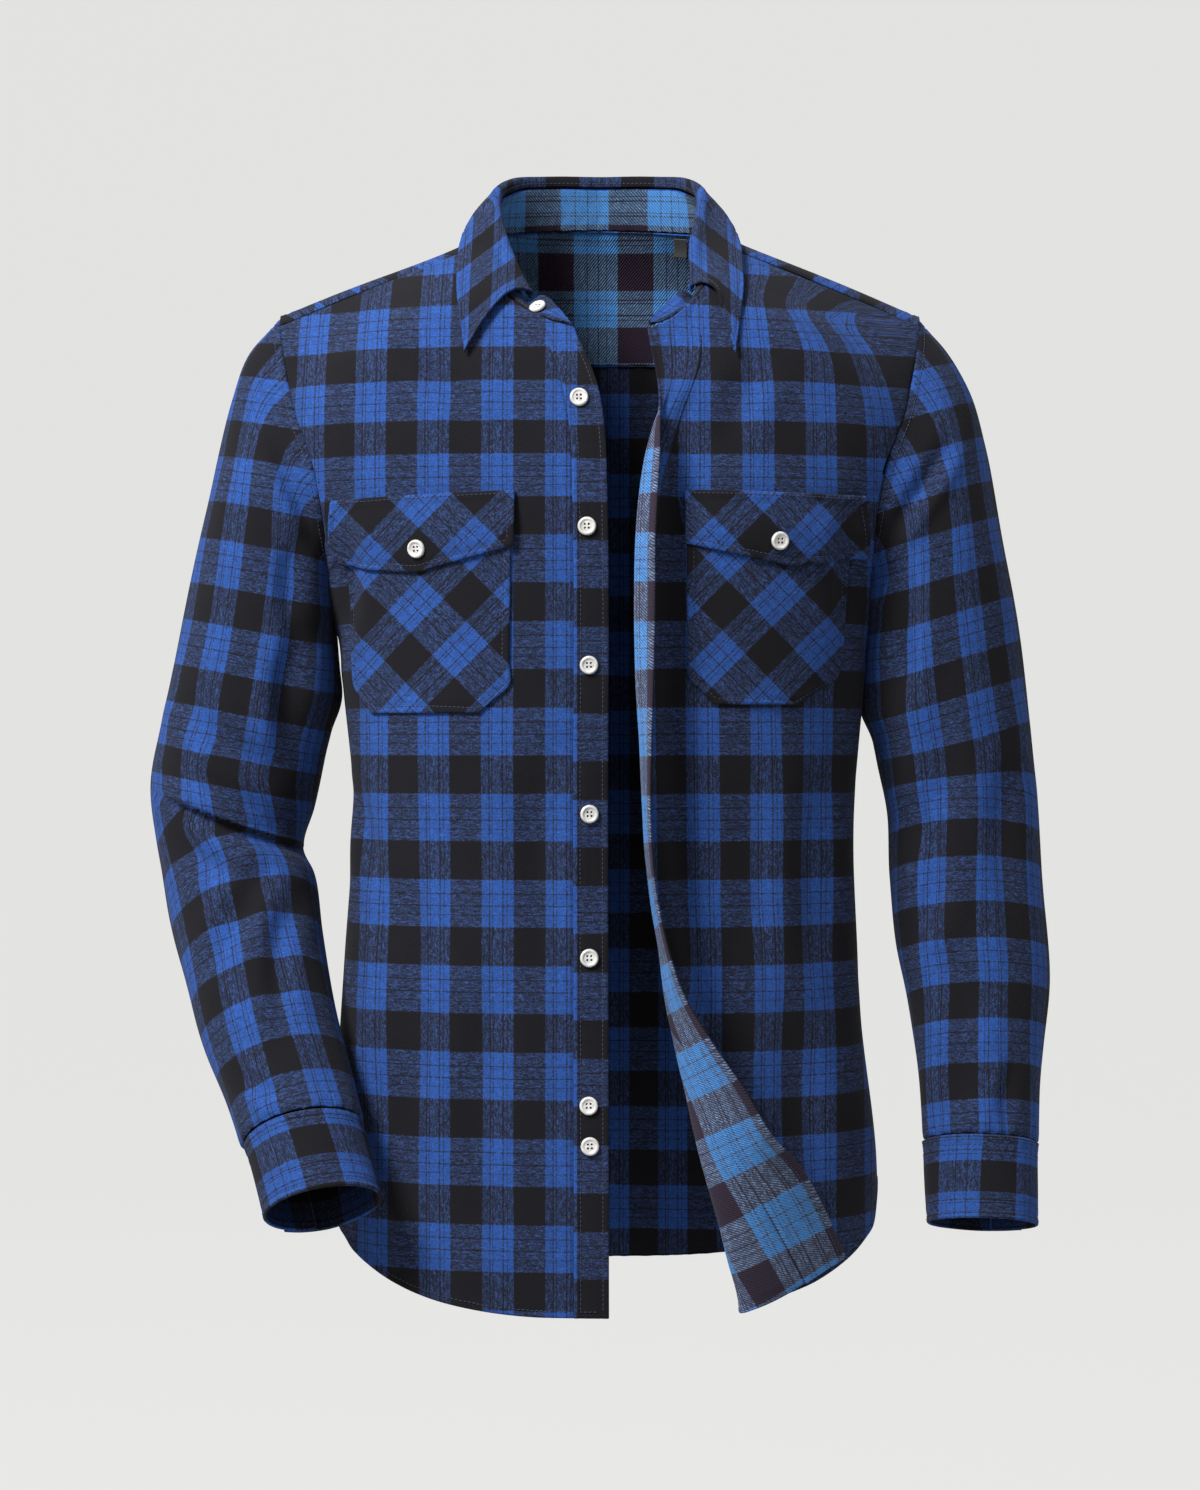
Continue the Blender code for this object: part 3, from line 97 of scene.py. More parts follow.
def run_of(points, axis=0):
    """Distance of points from the start of their polylines, which run along the axis."""
    steps = np.linalg.norm(np.diff(points, axis=axis), axis=-1)
    return np.insert(np.cumsum(steps, axis), 0, 0, axis)


def read_at(places, run, points):
    """Points read at places by their distance along a polyline."""
    return np.stack([np.interp(places, run, points[:, k]) for k in range(3)], -1)


def along(points, share):
    """Points at given fractions of the way along a polyline."""
    run = run_of(points)
    return read_at(np.asarray(share) * run[-1], run, points)


def unit(vectors):
    """The same directions at length one; a vector of no length stays as it is."""
    return vectors / np.maximum(np.linalg.norm(vectors, axis=-1, keepdims=True), 1e-12)


def run_point(tab, run, side):
    """A place on a table's curve, on the wearer's left (side 1) or right (-1)."""
    return smooth(tab["run"], np.stack([tab[k] for k in "xyz"], -1), run) * (side, 1, 1)


def ease(x, low, high):
    """0 below low, 1 above high, smooth between."""
    u = np.clip((np.asarray(x, float) - low) / (high - low), 0, 1)
    return u * u * (3 - 2 * u)


# ---- armhole, the same on both sides
# x is the distance from the middle; down the front from the shoulder's tip, and up the back
ARMHOLE = np.array([
    (0.2233, 0.000, -0.0550),
    (0.2225, -0.020, -0.0620),
    (0.2145, -0.046, -0.1030),
    (0.2075, -0.060, -0.1290),
    (0.1975, -0.069, -0.1550),
    (0.1905, -0.067, -0.1870),
    (0.1880, -0.053, -0.2140),
    (0.1885, -0.029, -0.2350),
    (0.1900, 0.004, -0.2430),
    (0.1900, 0.030, -0.2380),
    (0.1905, 0.052, -0.2220),
    (0.1925, 0.066, -0.1970),
    (0.1955, 0.071, -0.1700),
    (0.2000, 0.070, -0.1430),
    (0.2055, 0.064, -0.1180),
    (0.2100, 0.056, -0.0960),
    (0.2165, 0.040, -0.0750),
    (0.2215, 0.020, -0.0610),
    (0.2233, 0.000, -0.0550),
])
YOKE_FRONT, ARMPIT, YOKE_BACK = 1, 8, 15  # its corners, as rows of the list above
ARMPIT_Z = ARMHOLE[ARMPIT][2]


def armhole_stretch(first, last, count):
    """count + 1 even places on the armhole between two of its rows, which wrap round its end."""
    rows = np.concatenate([ARMHOLE[:-1]] * 3)
    n = len(ARMHOLE) - 1
    knots = run_of(rows)
    line = smooth(knots, rows, np.linspace(knots[first + n], knots[last + n], 160))
    return along(line, np.linspace(0, 1, count + 1))


FRONT_EDGE = armhole_stretch(YOKE_FRONT, ARMPIT, 400)
BACK_EDGE = armhole_stretch(ARMPIT, YOKE_BACK, 400)

# ---- torso
# level sections from below the hem to the armpit: half widths on each side
TORSO = table(
    "z half_right half_left",
    (-0.770, 0.1870, 0.1935),
    (-0.655, 0.1860, 0.1925),
    (-0.630, 0.1850, 0.1910),
    (-0.587, 0.1835, 0.1865),
    (-0.558, 0.1820, 0.1834),
    (-0.500, 0.1790, 0.1790),
    (-0.460, 0.1765, 0.1775),
    (-0.430, 0.1748, 0.1775),
    (-0.390, 0.1745, 0.1790),
    (-0.360, 0.1765, 0.1805),
    (-0.320, 0.1795, 0.1830),
    (-0.285, 0.1825, 0.1858),
    (-0.258, 0.1870, 0.1885),
    (-0.243, 0.1900, 0.1900),
)
# depth of each section in the middle
DEPTH = table(
    "z front back",
    (-0.770, -0.117, 0.1140),
    (-0.655, -0.120, 0.1150),
    (-0.560, -0.120, 0.1110),
    (-0.430, -0.117, 0.1010),
    (-0.330, -0.122, 0.1070),
    (-0.243, -0.127, 0.1170),
    (-0.200, -0.127, 0.1190),
    (-0.160, -0.1245, 0.1175),
    (-0.120, -0.1185, 0.1110),
    (-0.098, -0.1135, 0.1045),
    (-0.078, -0.1055, 0.0980),
    (-0.062, -0.0960, 0.0920),
    (-0.045, -0.0830, 0.0860),
    (-0.028, -0.0660, 0.0800),
    (-0.008, -0.0400, 0.0740),
)
SIDE_Y = 0.004  # y of the side seams
POWER = 2.4  # squareness of the sections
MOST_RISE = 0.93  # share of the depth at which a section may end
SEAM_NECK = np.array([0.0885, -0.0260, -0.0080])  # where the yoke's front seam meets the neck
SEAM_ARM = ARMHOLE[YOKE_FRONT]

# height of the hem against the share of the half width: front and back
HEM = table(
    "share front back",
    (0.00, -0.7370, -0.7270),
    (0.25, -0.7365, -0.7262),
    (0.44, -0.7330, -0.7235),
    (0.625, -0.7255, -0.7175),
    (0.755, -0.7160, -0.7090),
    (0.86, -0.7040, -0.6980),
    (0.943, -0.6900, -0.6850),
    (0.985, -0.6750, -0.6720),
    (1.00, -0.6560, -0.6560),
)


def edge_of(side, z, front=True):
    """Outer end of the level section at z: side seam, then armhole, then the yoke's front seam."""
    z = np.asarray(z, float)
    half = read(TORSO, "half_left" if side > 0 else "half_right", np.minimum(z, ARMPIT_Z))
    arm = FRONT_EDGE[::-1] if front else BACK_EDGE
    x = np.where(z <= ARMPIT_Z, half, np.interp(z, arm[:, 2], arm[:, 0]))
    y = np.where(z <= ARMPIT_Z, SIDE_Y, np.interp(z, arm[:, 2], arm[:, 1]))
    if front:
        up = np.clip((z - SEAM_ARM[2]) / (SEAM_NECK[2] - SEAM_ARM[2]), 0, 1)
        x = np.where(z > SEAM_ARM[2], SEAM_ARM[0] + up * (SEAM_NECK[0] - SEAM_ARM[0]), x)
        y = np.where(z > SEAM_ARM[2], SEAM_ARM[1] + up * (SEAM_NECK[1] - SEAM_ARM[1]), y)
    return x, y


def section(side, z, front=True):
    """The level section at z: where it ends, its middle depth, and its own full half width.

    Each section is a squared quarter ellipse that would run on past the armhole to the side, at
    SIDE_Y. Its half width is whatever takes it through the armhole's edge.
    """
    end_x, end_y = edge_of(side, z, front)
    mid = read(DEPTH, "front" if front else "back", z) - SIDE_Y
    rise = np.clip((end_y - SIDE_Y) / mid, 0, MOST_RISE)
    return end_x, mid, end_x / (1 - rise ** POWER) ** (1 / POWER)


def torso(side, x, z, front=True):
    """The y of the front or back at distance x from the middle and height z."""
    _end, mid, half = section(side, z, front)
    return SIDE_Y + mid * (1 - np.clip(np.abs(x) / half, 0, 1) ** POWER) ** (1 / POWER)


def spread_x(side, z, fraction, first, front=True):
    """Distances from the middle, evenly spaced round the section from the distance first outwards."""
    end_x, _mid, half = section(side, z, front)
    return round_section(half, first, end_x, fraction)


def round_section(half, first, last, fraction):
    """Distances from the middle at even steps round a section, between two of them."""
    a, b = (np.arcsin(np.clip(x / half, 0, 1) ** (POWER / 2)) for x in (first, last))
    return half * np.sin(a + (b - a) * fraction) ** (2 / POWER)


# ---- neck
# the neck seam in front, from the end of the front to the yoke: distance from the middle, height
NECK_RIGHT = table("x z", (0.0175, -0.0725), (0.0356, -0.0672), (0.0500, -0.0590),
                   (0.0640, -0.0475), (0.0760, -0.0330), (0.0845, -0.0195), (0.0885, -0.0080))
NECK_LEFT = table("x z", (0.0330, -0.0735), (0.0460, -0.0675), (0.0580, -0.0580),
                  (0.0690, -0.0455), (0.0785, -0.0315), (0.0853, -0.0190), (0.0885, -0.0080))
# the neck seam behind, from the yoke's front seam to the middle of the back
NECK_BACK = table(
    "run x y z",
    (0.00, 0.0885, -0.0260, -0.0080),
    (0.16, 0.0872, -0.0020, 0.0010),
    (0.34, 0.0810, 0.0230, 0.0070),
    (0.56, 0.0640, 0.0470, 0.0110),
    (0.78, 0.0360, 0.0630, 0.0145),
    (1.00, 0.0000, 0.0690, 0.0160),
)


def neck_front(side, places):
    """Places along the neck seam of one front, from the front's end (0) to the yoke (1)."""
    tab = NECK_LEFT if side > 0 else NECK_RIGHT
    xz = np.stack([tab["x"], tab["z"]], -1)
    knots = run_of(xz)
    p = smooth(knots, xz, np.asarray(places) * knots[-1])
    return np.stack([side * p[..., 0], torso(side, p[..., 0], p[..., 1]), p[..., 1]], -1)


def neck_back(side, places):
    """Places along the neck seam of the yoke, from its front seam (0) to the middle of the back (1)."""
    return run_point(NECK_BACK, places, side)


# ---- the two front edges
# right front: x of its free edge
RIGHT_EDGE = table("z x", (-0.770, 0.0060), (-0.400, 0.0055), (-0.200, 0.0052), (-0.150, 0.0038),
                   (-0.128, 0.0018), (-0.112, -0.0015), (-0.0935, -0.0068), (-0.081, -0.0125),
                   (-0.0725, -0.0175))
# left front: where its fold lies, where the free edge would lie unfolded, radius of the fold,
# how far it turns (degrees), how far the fold stands off the chest, and the hollow beside it
TURNED = table(
    "z fold free radius turn stand_off hollow",
    (-0.770, 0.1020, 0.0112, 0.0070, 180, 0.000, 0.000),
    (-0.727, 0.0915, 0.0138, 0.0070, 180, 0.000, 0.000),
    (-0.679, 0.0805, 0.0148, 0.0075, 162, 0.001, 0.000),
    (-0.643, 0.0700, 0.0112, 0.0080, 138, 0.002, 0.001),
    (-0.595, 0.0585, 0.0064, 0.0085, 123, 0.003, 0.002),
    (-0.560, 0.0505, 0.0060, 0.0090, 112, 0.004, 0.003),
    (-0.530, 0.0440, 0.0060, 0.0088, 103, 0.005, 0.004),
    (-0.484, 0.0380, 0.0060, 0.0080, 93, 0.006, 0.004),
    (-0.440, 0.0315, 0.0060, 0.0066, 95, 0.006, 0.004),
    (-0.357, 0.0270, 0.0060, 0.0055, 104, 0.006, 0.005),
    (-0.308, 0.0242, 0.0060, 0.0050, 122, 0.006, 0.005),
    (-0.262, 0.0234, 0.0060, 0.0048, 134, 0.006, 0.005),
    (-0.223, 0.0240, 0.0070, 0.0046, 132, 0.006, 0.005),
    (-0.187, 0.0268, 0.0110, 0.0042, 132, 0.005, 0.005),
    (-0.155, 0.0320, 0.0185, 0.0038, 124, 0.004, 0.004),
    (-0.125, 0.0380, 0.0275, 0.0034, 121, 0.003, 0.002),
    (-0.110, 0.0412, 0.0330, 0.0030, 110, 0.001, 0.001),
    (-0.095, 0.0400, 0.0370, 0.0030, 50, 0.000, 0.000),
    (-0.0735, 0.0335, 0.0325, 0.0030, 12, 0.000, 0.000),
)
HOLLOW_W, HOLLOW_END = 0.020, 2.4  # the hollow beside the fold: its slope, and its end in slopes
TURNED_COLUMNS = ("fold", "free", "radius", "turn", "stand_off", "hollow")
LEAN_STEP, MOST_LEAN = 0.01, 0.5  # the fold's lean is taken over this height, and held to this
DROOP = (0.004, 0.060, 1.15)  # the turned cloth sinks between these places, by this many radii


def beside_fold(x, z):
    """How far the left front stands off the chest beside its fold: a small crest, then a hollow."""
    near = np.maximum(x - read(TURNED, "fold", z) - read(TURNED, "radius", z), 0) / HOLLOW_W
    return read(TURNED, "stand_off", z) * (1 - ease(near, 0, 1)) - read(TURNED, "hollow", z) * (
        ease(near, 0, 0.9) * (1 - ease(near, 0.9, HOLLOW_END)))


def left_front(w, z):
    """x, z and stand-off from the chest of the left front at w along the cloth from its free edge.

    Behind the fold the cloth lies near the chest. It rolls round the fold, then runs back over
    itself, and because the fold leans, the turned part also rises.
    """
    col = {name: read(TURNED, name, z) for name in TURNED_COLUMNS}
    r, turn = col["radius"], np.radians(np.clip(col["turn"], 0, 180))
    shift = read(TURNED, "fold", z - LEAN_STEP) - read(TURNED, "fold", z + LEAN_STEP)
    lean = np.clip(np.arctan(shift / (2 * LEAN_STEP)), 0, MOST_LEAN)
    past = col["fold"] - col["free"] - w  # level distance past the fold, - is behind it
    q = past * np.cos(lean) + math.pi / 2 * r  # distance from the start of the roll
    angle = np.clip(q / r, 0, turn)
    more = np.maximum(q - r * turn, 0)
    before = np.maximum(-q, 0)
    across = r * (1 - np.sin(angle)) - np.cos(turn) * more + before
    up = np.where(q > 0, np.maximum(past, 0) * np.sin(lean), 0)
    droop = r * DROOP[2] * ease(more, *DROOP[:2])
    off = col["stand_off"] + r * (1 - np.cos(angle)) + np.sin(turn) * more - droop
    m_x, m_z, e_x, e_z = np.cos(lean), np.sin(lean), -np.sin(lean), np.cos(lean)
    x = col["fold"] + np.where(q > 0, across * m_x + up * e_x, across)
    rise = np.where(q > 0, across * m_z + up * e_z, 0) - r * m_z * (q > 0) * (1 - ease(q, 0, 2 * r))
    return x, z + rise, np.where(q > 0, off, beside_fold(x, z))


# ---- sleeves
# one ring a row after the armhole: outer and inner end of the ring, y of its middle, half depth
SLEEVE_RIGHT = table(
    "row out_x out_z in_x in_z y depth",
    (0, 0.2233, -0.0550, 0.1900, -0.2430, 0.000, 0.0700),
    (1, 0.2460, -0.0790, 0.1912, -0.2545, 0.000, 0.0690),
    (2, 0.2575, -0.1100, 0.1915, -0.2680, 0.000, 0.0680),
    (3, 0.2670, -0.1460, 0.1898, -0.2830, 0.000, 0.0670),
    (4, 0.2755, -0.1850, 0.1875, -0.2985, 0.000, 0.0660),
    (5, 0.2860, -0.2370, 0.1850, -0.3150, 0.000, 0.0640),
    (6, 0.2970, -0.2900, 0.1850, -0.3350, 0.001, 0.0620),
    (7, 0.3060, -0.3400, 0.1925, -0.3620, 0.003, 0.0600),
    (8, 0.3130, -0.3850, 0.2015, -0.3980, 0.005, 0.0580),
    (9, 0.3105, -0.4180, 0.2085, -0.4230, 0.004, 0.0555),
    (10, 0.3045, -0.4500, 0.1990, -0.4450, -0.004, 0.0550),
    (11, 0.2955, -0.4850, 0.1930, -0.4800, -0.021, 0.0525),
    (12, 0.2830, -0.5250, 0.1840, -0.5150, -0.043, 0.0490),
    (13, 0.2680, -0.5650, 0.1755, -0.5530, -0.066, 0.0450),
    (14, 0.2520, -0.5980, 0.1660, -0.5820, -0.087, 0.0410),
    (15, 0.2385, -0.6242, 0.1602, -0.6050, -0.104, 0.0380),
    (16, 0.2305, -0.6470, 0.1525, -0.6290, -0.117, 0.0372),
    (17, 0.2232, -0.6700, 0.1452, -0.6530, -0.130, 0.0368),
)
SLEEVE_LEFT = table(
    "row out_x out_z in_x in_z y depth",
    (0, 0.2233, -0.0550, 0.1900, -0.2430, 0.000, 0.0700),
    (1, 0.2430, -0.0755, 0.1915, -0.2545, 0.000, 0.0690),
    (2, 0.2585, -0.1040, 0.1922, -0.2680, 0.000, 0.0680),
    (3, 0.2685, -0.1440, 0.1912, -0.2830, 0.000, 0.0670),
    (4, 0.2765, -0.1850, 0.1893, -0.2985, 0.000, 0.0660),
    (5, 0.2855, -0.2370, 0.1870, -0.3150, 0.000, 0.0640),
    (6, 0.2935, -0.2890, 0.1872, -0.3350, 0.001, 0.0620),
    (7, 0.3015, -0.3420, 0.1930, -0.3650, 0.003, 0.0600),
    (8, 0.3068, -0.3920, 0.2020, -0.4030, 0.004, 0.0580),
    (9, 0.3107, -0.4400, 0.2038, -0.4450, 0.003, 0.0560),
    (10, 0.3137, -0.4900, 0.2079, -0.4900, -0.001, 0.0535),
    (11, 0.3136, -0.5236, 0.2145, -0.5236, -0.008, 0.0505),
    (12, 0.3100, -0.5620, 0.2180, -0.5600, -0.017, 0.0465),
    (13, 0.3050, -0.5980, 0.2215, -0.5960, -0.026, 0.0415),
    (14, 0.3022, -0.6285, 0.2232, -0.6258, -0.034, 0.0385),
    (15, 0.3016, -0.6560, 0.2234, -0.6535, -0.041, 0.0375),
    (16, 0.3008, -0.6840, 0.2250, -0.6815, -0.048, 0.0370),
)
SLEEVES = {-1: SLEEVE_RIGHT, 1: SLEEVE_LEFT}
CUFF_ROWS = 2  # the last rows of each table are the cuff
FADE = 4.5  # rows over which the armhole's own shape fades out
SQUARE_ROWS = 3.0  # rows over which the rings turn square to the arm
EVEN_ROWS = (1, 8)  # rows over which a ring's points become evenly spaced


def arm_loop():
    """The armhole as the sleeve's first ring: over the shoulder, down the front, up the back."""
    n = len(ARMHOLE) - 1
    over = armhole_stretch(YOKE_BACK - n, YOKE_FRONT, TOP_ARM)
    down = armhole_stretch(YOKE_FRONT, ARMPIT, ROWS_ARM)
    up = armhole_stretch(ARMPIT, YOKE_BACK, BACK_ARM)
    return np.concatenate([over[:-1], down[:-1], up[:-1]])


def ring(tab, row, angle):
    """An elliptic ring of the sleeve at a row: angle 0 is its outer end, a quarter turn its front."""
    def end(which, r):
        return np.stack([read(tab, which + "_x", r), read(tab, "y", r), read(tab, which + "_z", r)], -1)

    def middle(r):
        return (end("out", r) + end("in", r)) / 2

    half = (end("out", row) - end("in", row)) / 2
    path = middle(np.minimum(row + 0.5, tab["key"][-1])) - middle(np.maximum(row - 0.5, 0))
    front = unit(np.cross(half, path))
    front = np.where(front[..., 1:2] > 0, -front, front)
    early = np.clip(row / SQUARE_ROWS, 0, 1)[..., None]
    front = unit(front * early + np.array([0.0, -1.0, 0.0]) * (1 - early))
    deep = read(tab, "depth", row) * np.sin(angle)
    return middle(row) + half * np.cos(angle)[..., None] + front * deep[..., None]


def loop_angles(tab, loop):
    """The ring angle that belongs to each point of the armhole."""
    ends = np.array([[tab["out_x"][0], 0, tab["out_z"][0]], [tab["in_x"][0], 0, tab["in_z"][0]]])
    mid, half = ends.mean(0), (ends[0] - ends[1]) / 2
    along_half = (loop - mid) @ half / (half @ half)
    across = -(loop[:, 1] - tab["y"][0]) / tab["depth"][0]
    angle = np.unwrap(np.arctan2(across, along_half))
    return angle - 2 * math.pi * round(angle[TOP_ARM // 2] / (2 * math.pi))


def sleeve_points(tab, side, rows):
    """Rings of a sleeve at the given table rows, on the wearer's left (side 1) or right (-1)."""
    loop = arm_loop()
    start = loop_angles(tab, loop)
    even = start[0] + np.arange(len(loop)) / len(loop) * 2 * math.pi * np.sign(start[-1] - start[0])
    rows = np.asarray(rows, float)[:, None] + 0 * start[None]
    mix = ease(rows, *EVEN_ROWS)
    angle = start * (1 - mix) + even * mix
    own = loop - ring(tab, 0 * start, start)
    keep = (1 - np.clip(rows / FADE, 0, 1)) ** 2
    return (ring(tab, rows, angle) + own * keep[..., None]) * (side, 1, 1)


# ---- yoke
SHOULDER_RUN = 0.40  # of half the neck seam behind, that lies over a shoulder
BACK_SEAM_Z, SEAM_BEND = -0.0770, 2.2  # the back seam's height in the middle, and its curve's power
YOKE_CROWN = (0.0, 0.0085, 0.0050)  # how far the yoke swells behind the neck, midway


def yoke_loops():
    """Inner and outer edge of the yoke, from the wearer's right front seam round to the left one."""
    n = len(ARMHOLE) - 1
    over = armhole_stretch(YOKE_BACK - n, YOKE_FRONT, TOP_ARM)[::-1]  # front corner to back corner
    outer = np.concatenate([over[:-1] * (-1, 1, 1), back_seam(), over[::-1][1:]])
    shoulder = np.linspace(0, SHOULDER_RUN, TOP_ARM + 1)
    behind = np.linspace(SHOULDER_RUN, 1, COLS_BACK // 2 + 1)
    right = np.concatenate([shoulder[:-1], behind])
    inner = np.concatenate([neck_back(-1, right), neck_back(1, right[::-1][1:])])
    return inner, outer


def back_seam():
    """The seam between yoke and back, from the right armhole to the left one."""
    share = np.linspace(-1, 1, COLS_BACK + 1)
    z = BACK_SEAM_Z + (ARMHOLE[YOKE_BACK][2] - BACK_SEAM_Z) * np.abs(share) ** SEAM_BEND
    return back_points(share, z)


def back_points(fraction, z):
    """Points of the back at level z, evenly spaced from the right end (-1) to the left end (1)."""
    points = []
    for side in (-1, 1):
        x = spread_x(side, z, np.abs(fraction), 0.0, False)
        points.append(np.stack([side * x, torso(side, x, z, False), z], -1))
    return np.where((fraction < 0)[..., None], *points)


def yoke_grid():
    """The yoke: straight from its inner to its outer edge, with a low crown behind the neck."""
    inner, outer = yoke_loops()
    f = np.linspace(0, 1, ROWS_YOKE + 1)[:, None, None]
    grid = inner * (1 - f) + outer * f
    n = inner.shape[0] - 1
    behind = np.sin(np.linspace(0, math.pi, n + 1)) ** 2  # full behind the neck, none in front
    return grid + np.sin(math.pi * f) * behind[:, None] * YOKE_CROWN


# ---- panels
ARM_UP = armhole_stretch(YOKE_FRONT, ARMPIT, ROWS_ARM)[::-1]  # rows' outer ends above the armpit
CHEST_ROW = (-0.215, ARMPIT_Z)  # heights of the armpit row in the middle and at the side
BAND_SEAM = 0.270  # of the right neck seam, where the band's seam meets it
PLACKET_SEAM = 0.47  # the same for the left placket
RIGHT_STEPS = (CHEST_ROW[0], -0.180, -0.145, -0.110)  # inner ends of rows above the armpit's
LEFT_STEPS = (CHEST_ROW[0], -0.188, -0.160, -0.132, -0.100)
FOLDED_W, FOLDED_SHARE = 0.118, 0.46  # the left front's columns round its fold: their width and share
NOMINAL_HALF, INSET = 0.190, 0.008  # half width and start that give the hem's share under the fold
TURNED_Z = (0.50, 0.58)  # depths between which the turned panel's own stripe takes over
TURNED_END = 0.035  # how far past the fold that stripe reaches


def row_height(share, up, face="front"):
    """Height of a row at a share of the half width; up is 0 at the hem and 1 at the armpit."""
    chest = CHEST_ROW[0] + (CHEST_ROW[1] - CHEST_ROW[0]) * share ** 2
    return read(HEM, face, share) * (1 - up) + chest * up


def band_seam_x(z):
    """Distance from the middle of the button band's seam."""
    neck = neck_front(-1, BAND_SEAM)
    spread = abs(neck[0]) + read(RIGHT_EDGE, "x", neck[2]) - BAND_W
    return BAND_W - read(RIGHT_EDGE, "x", z) + spread * ease(z, -0.13, neck[2])


def right_front_grids():
    """The right front from the band's seam to the side, the band from its seam inwards, their cut."""
    neck = neck_front(-1, np.linspace(BAND_SEAM, 1, ROWS_ARM - 3))
    s = np.linspace(0, 1, COLS_FRONT + 1)
    rows = []
    for up in np.linspace(0, 1, ROWS_BODY + 1):
        share = s
        for _ in range(6):
            z = row_height(share, up)
            x = spread_x(-1, z, s, band_seam_x(z))
            share = x / edge_of(-1, z)[0]
        rows.append((x, z))
    for k in range(1, ROWS_ARM + 1):
        low = k < len(RIGHT_STEPS)
        z_in = RIGHT_STEPS[k] if low else neck[k - len(RIGHT_STEPS), 2]
        x_in = band_seam_x(z_in) if low else abs(neck[k - len(RIGHT_STEPS), 0])
        z = z_in + (ARM_UP[k, 2] - z_in) * s ** (2 - k / ROWS_ARM)
        first = x_in / edge_of(-1, z_in)[0] * edge_of(-1, z)[0]
        rows.append((spread_x(-1, z, s, first), z))
    panel = evened(np.array([stand_off(-1, x, z, 0 * z) for x, z in rows]), ROWS_BODY + 3, s)
    last = ROWS_BODY + len(RIGHT_STEPS)
    top = neck_front(-1, np.linspace(BAND_SEAM, 0, 4))
    u = np.linspace(0, 1, 4)
    band = []
    for v in range(last + 1):
        start = panel[v, 0]
        z = start[2] + ease(v, last - 3, last) * (top[:, 2] - top[0, 2])
        x = start[0] * (1 - u) + read(RIGHT_EDGE, "x", z) * u
        if v == last:
            x, z = top[:, 0], top[:, 2]
        band.append(np.stack([x, torso(-1, np.abs(x), z), z], -1))
    band = np.array(band)
    shift = -FIRST_BLUE[-1]
    return (panel, band, (panel[..., 0] + shift, rows_at(panel[..., 2])),
            (band[..., 0] + shift, rows_at(band[..., 2]) - BAND_SHIFT))


def left_front_grids():
    """The left front from the placket's seam to the side, the placket up to that seam, their cut."""
    neck = neck_front(1, np.linspace(PLACKET_SEAM, 1, ROWS_ARM - 4))
    w_panel = np.linspace(PLACKET_W, FOLDED_W, COLS_FOLD + 1)  # columns measured along the cloth
    w_strip = np.linspace(0, PLACKET_W, COLS_STRIP + 1)
    across_strip = FIRST_BLUE[1] + (w_strip - STRIP_BLUE) / STRIP_SCALE
    s = np.linspace(0, 1, COLS_SIDE + 1)[1:]
    rows, strips = [], []
    for up in np.linspace(0, 1, ROWS_BODY + 1):
        flat = row_height(np.clip((w_panel + INSET) / NOMINAL_HALF, 0, 1), up)
        x, z, off = left_front(w_panel, flat)
        free = read(TURNED, "free", flat)
        rolled = free - math.pi / 2 * read(TURNED, "radius", flat)
        share = 0.6 + 0.4 * s
        for _ in range(6):
            side_z = row_height(share, up)
            side_x = spread_x(1, side_z, s, x[-1])
            share = side_x / edge_of(1, side_z)[0]
        past = w_panel + free - read(TURNED, "fold", flat)
        turned = ease(-flat, *TURNED_Z) * (1 - ease(past, 0, TURNED_END))
        rolled = rolled * (1 - turned) + (FIRST_BLUE[1] - TURNED_BLUE) * turned
        rows.append([np.append(*ends) for ends in (
            (x, side_x), (z, side_z), (off, beside_fold(side_x, side_z)),
            (w_panel + rolled, side_x), (flat, side_z))])
        flat = row_height(np.clip((w_strip + INSET) / NOMINAL_HALF, 0, 1), up)
        strips.append((*left_front(w_strip, flat), across_strip, flat))
    where = np.append(np.linspace(0, FOLDED_SHARE, COLS_FOLD + 1), FOLDED_SHARE + (1 - FOLDED_SHARE) * s)
    top = neck_front(1, np.linspace(0, PLACKET_SEAM, COLS_STRIP + 1))
    line = np.linspace(0, 1, COLS_STRIP + 1)
    for k in range(1, ROWS_ARM + 1):
        low = k < len(LEFT_STEPS)
        z_in = LEFT_STEPS[k] if low else neck[k - len(LEFT_STEPS), 2]
        x_in = left_front(PLACKET_W, z_in)[0] if low else neck[k - len(LEFT_STEPS), 0]
        z = z_in + (ARM_UP[k, 2] - z_in) * where ** (2 - k / ROWS_ARM)
        x = spread_x(1, z, where, x_in / edge_of(1, z_in)[0] * edge_of(1, z)[0])
        rows.append((x, z, beside_fold(x, z) * (1 - ease(z, -0.13, -0.09)), x, z))
        if k <= len(LEFT_STEPS):
            flat = z_in + ease(k, 1, len(LEFT_STEPS)) * (top[:, 2] - top[-1, 2])
            x, z, off = left_front(w_strip, flat)
            plain = ease(k, 2, len(LEFT_STEPS))
            ends = top[:, 0]
            if k < len(LEFT_STEPS):
                ends = read(TURNED, "fold", flat[0]) * (1 - line) + x_in * line
            strips.append((x * (1 - plain) + ends * plain, z, off * (1 - plain), across_strip, flat))
    panel = evened(np.array([stand_off(1, *row[:3]) for row in rows]), ROWS_BODY + 3, where)
    strip = np.array([stand_off(1, *row[:3]) for row in strips])
    strip[:, -1] = panel[: len(strip), 0]
    cuts = [(np.array([row[3] for row in part]) - FIRST_BLUE[1],
             rows_at(np.array([row[4] for row in part]))) for part in (rows, strips)]
    return panel, strip, *cuts


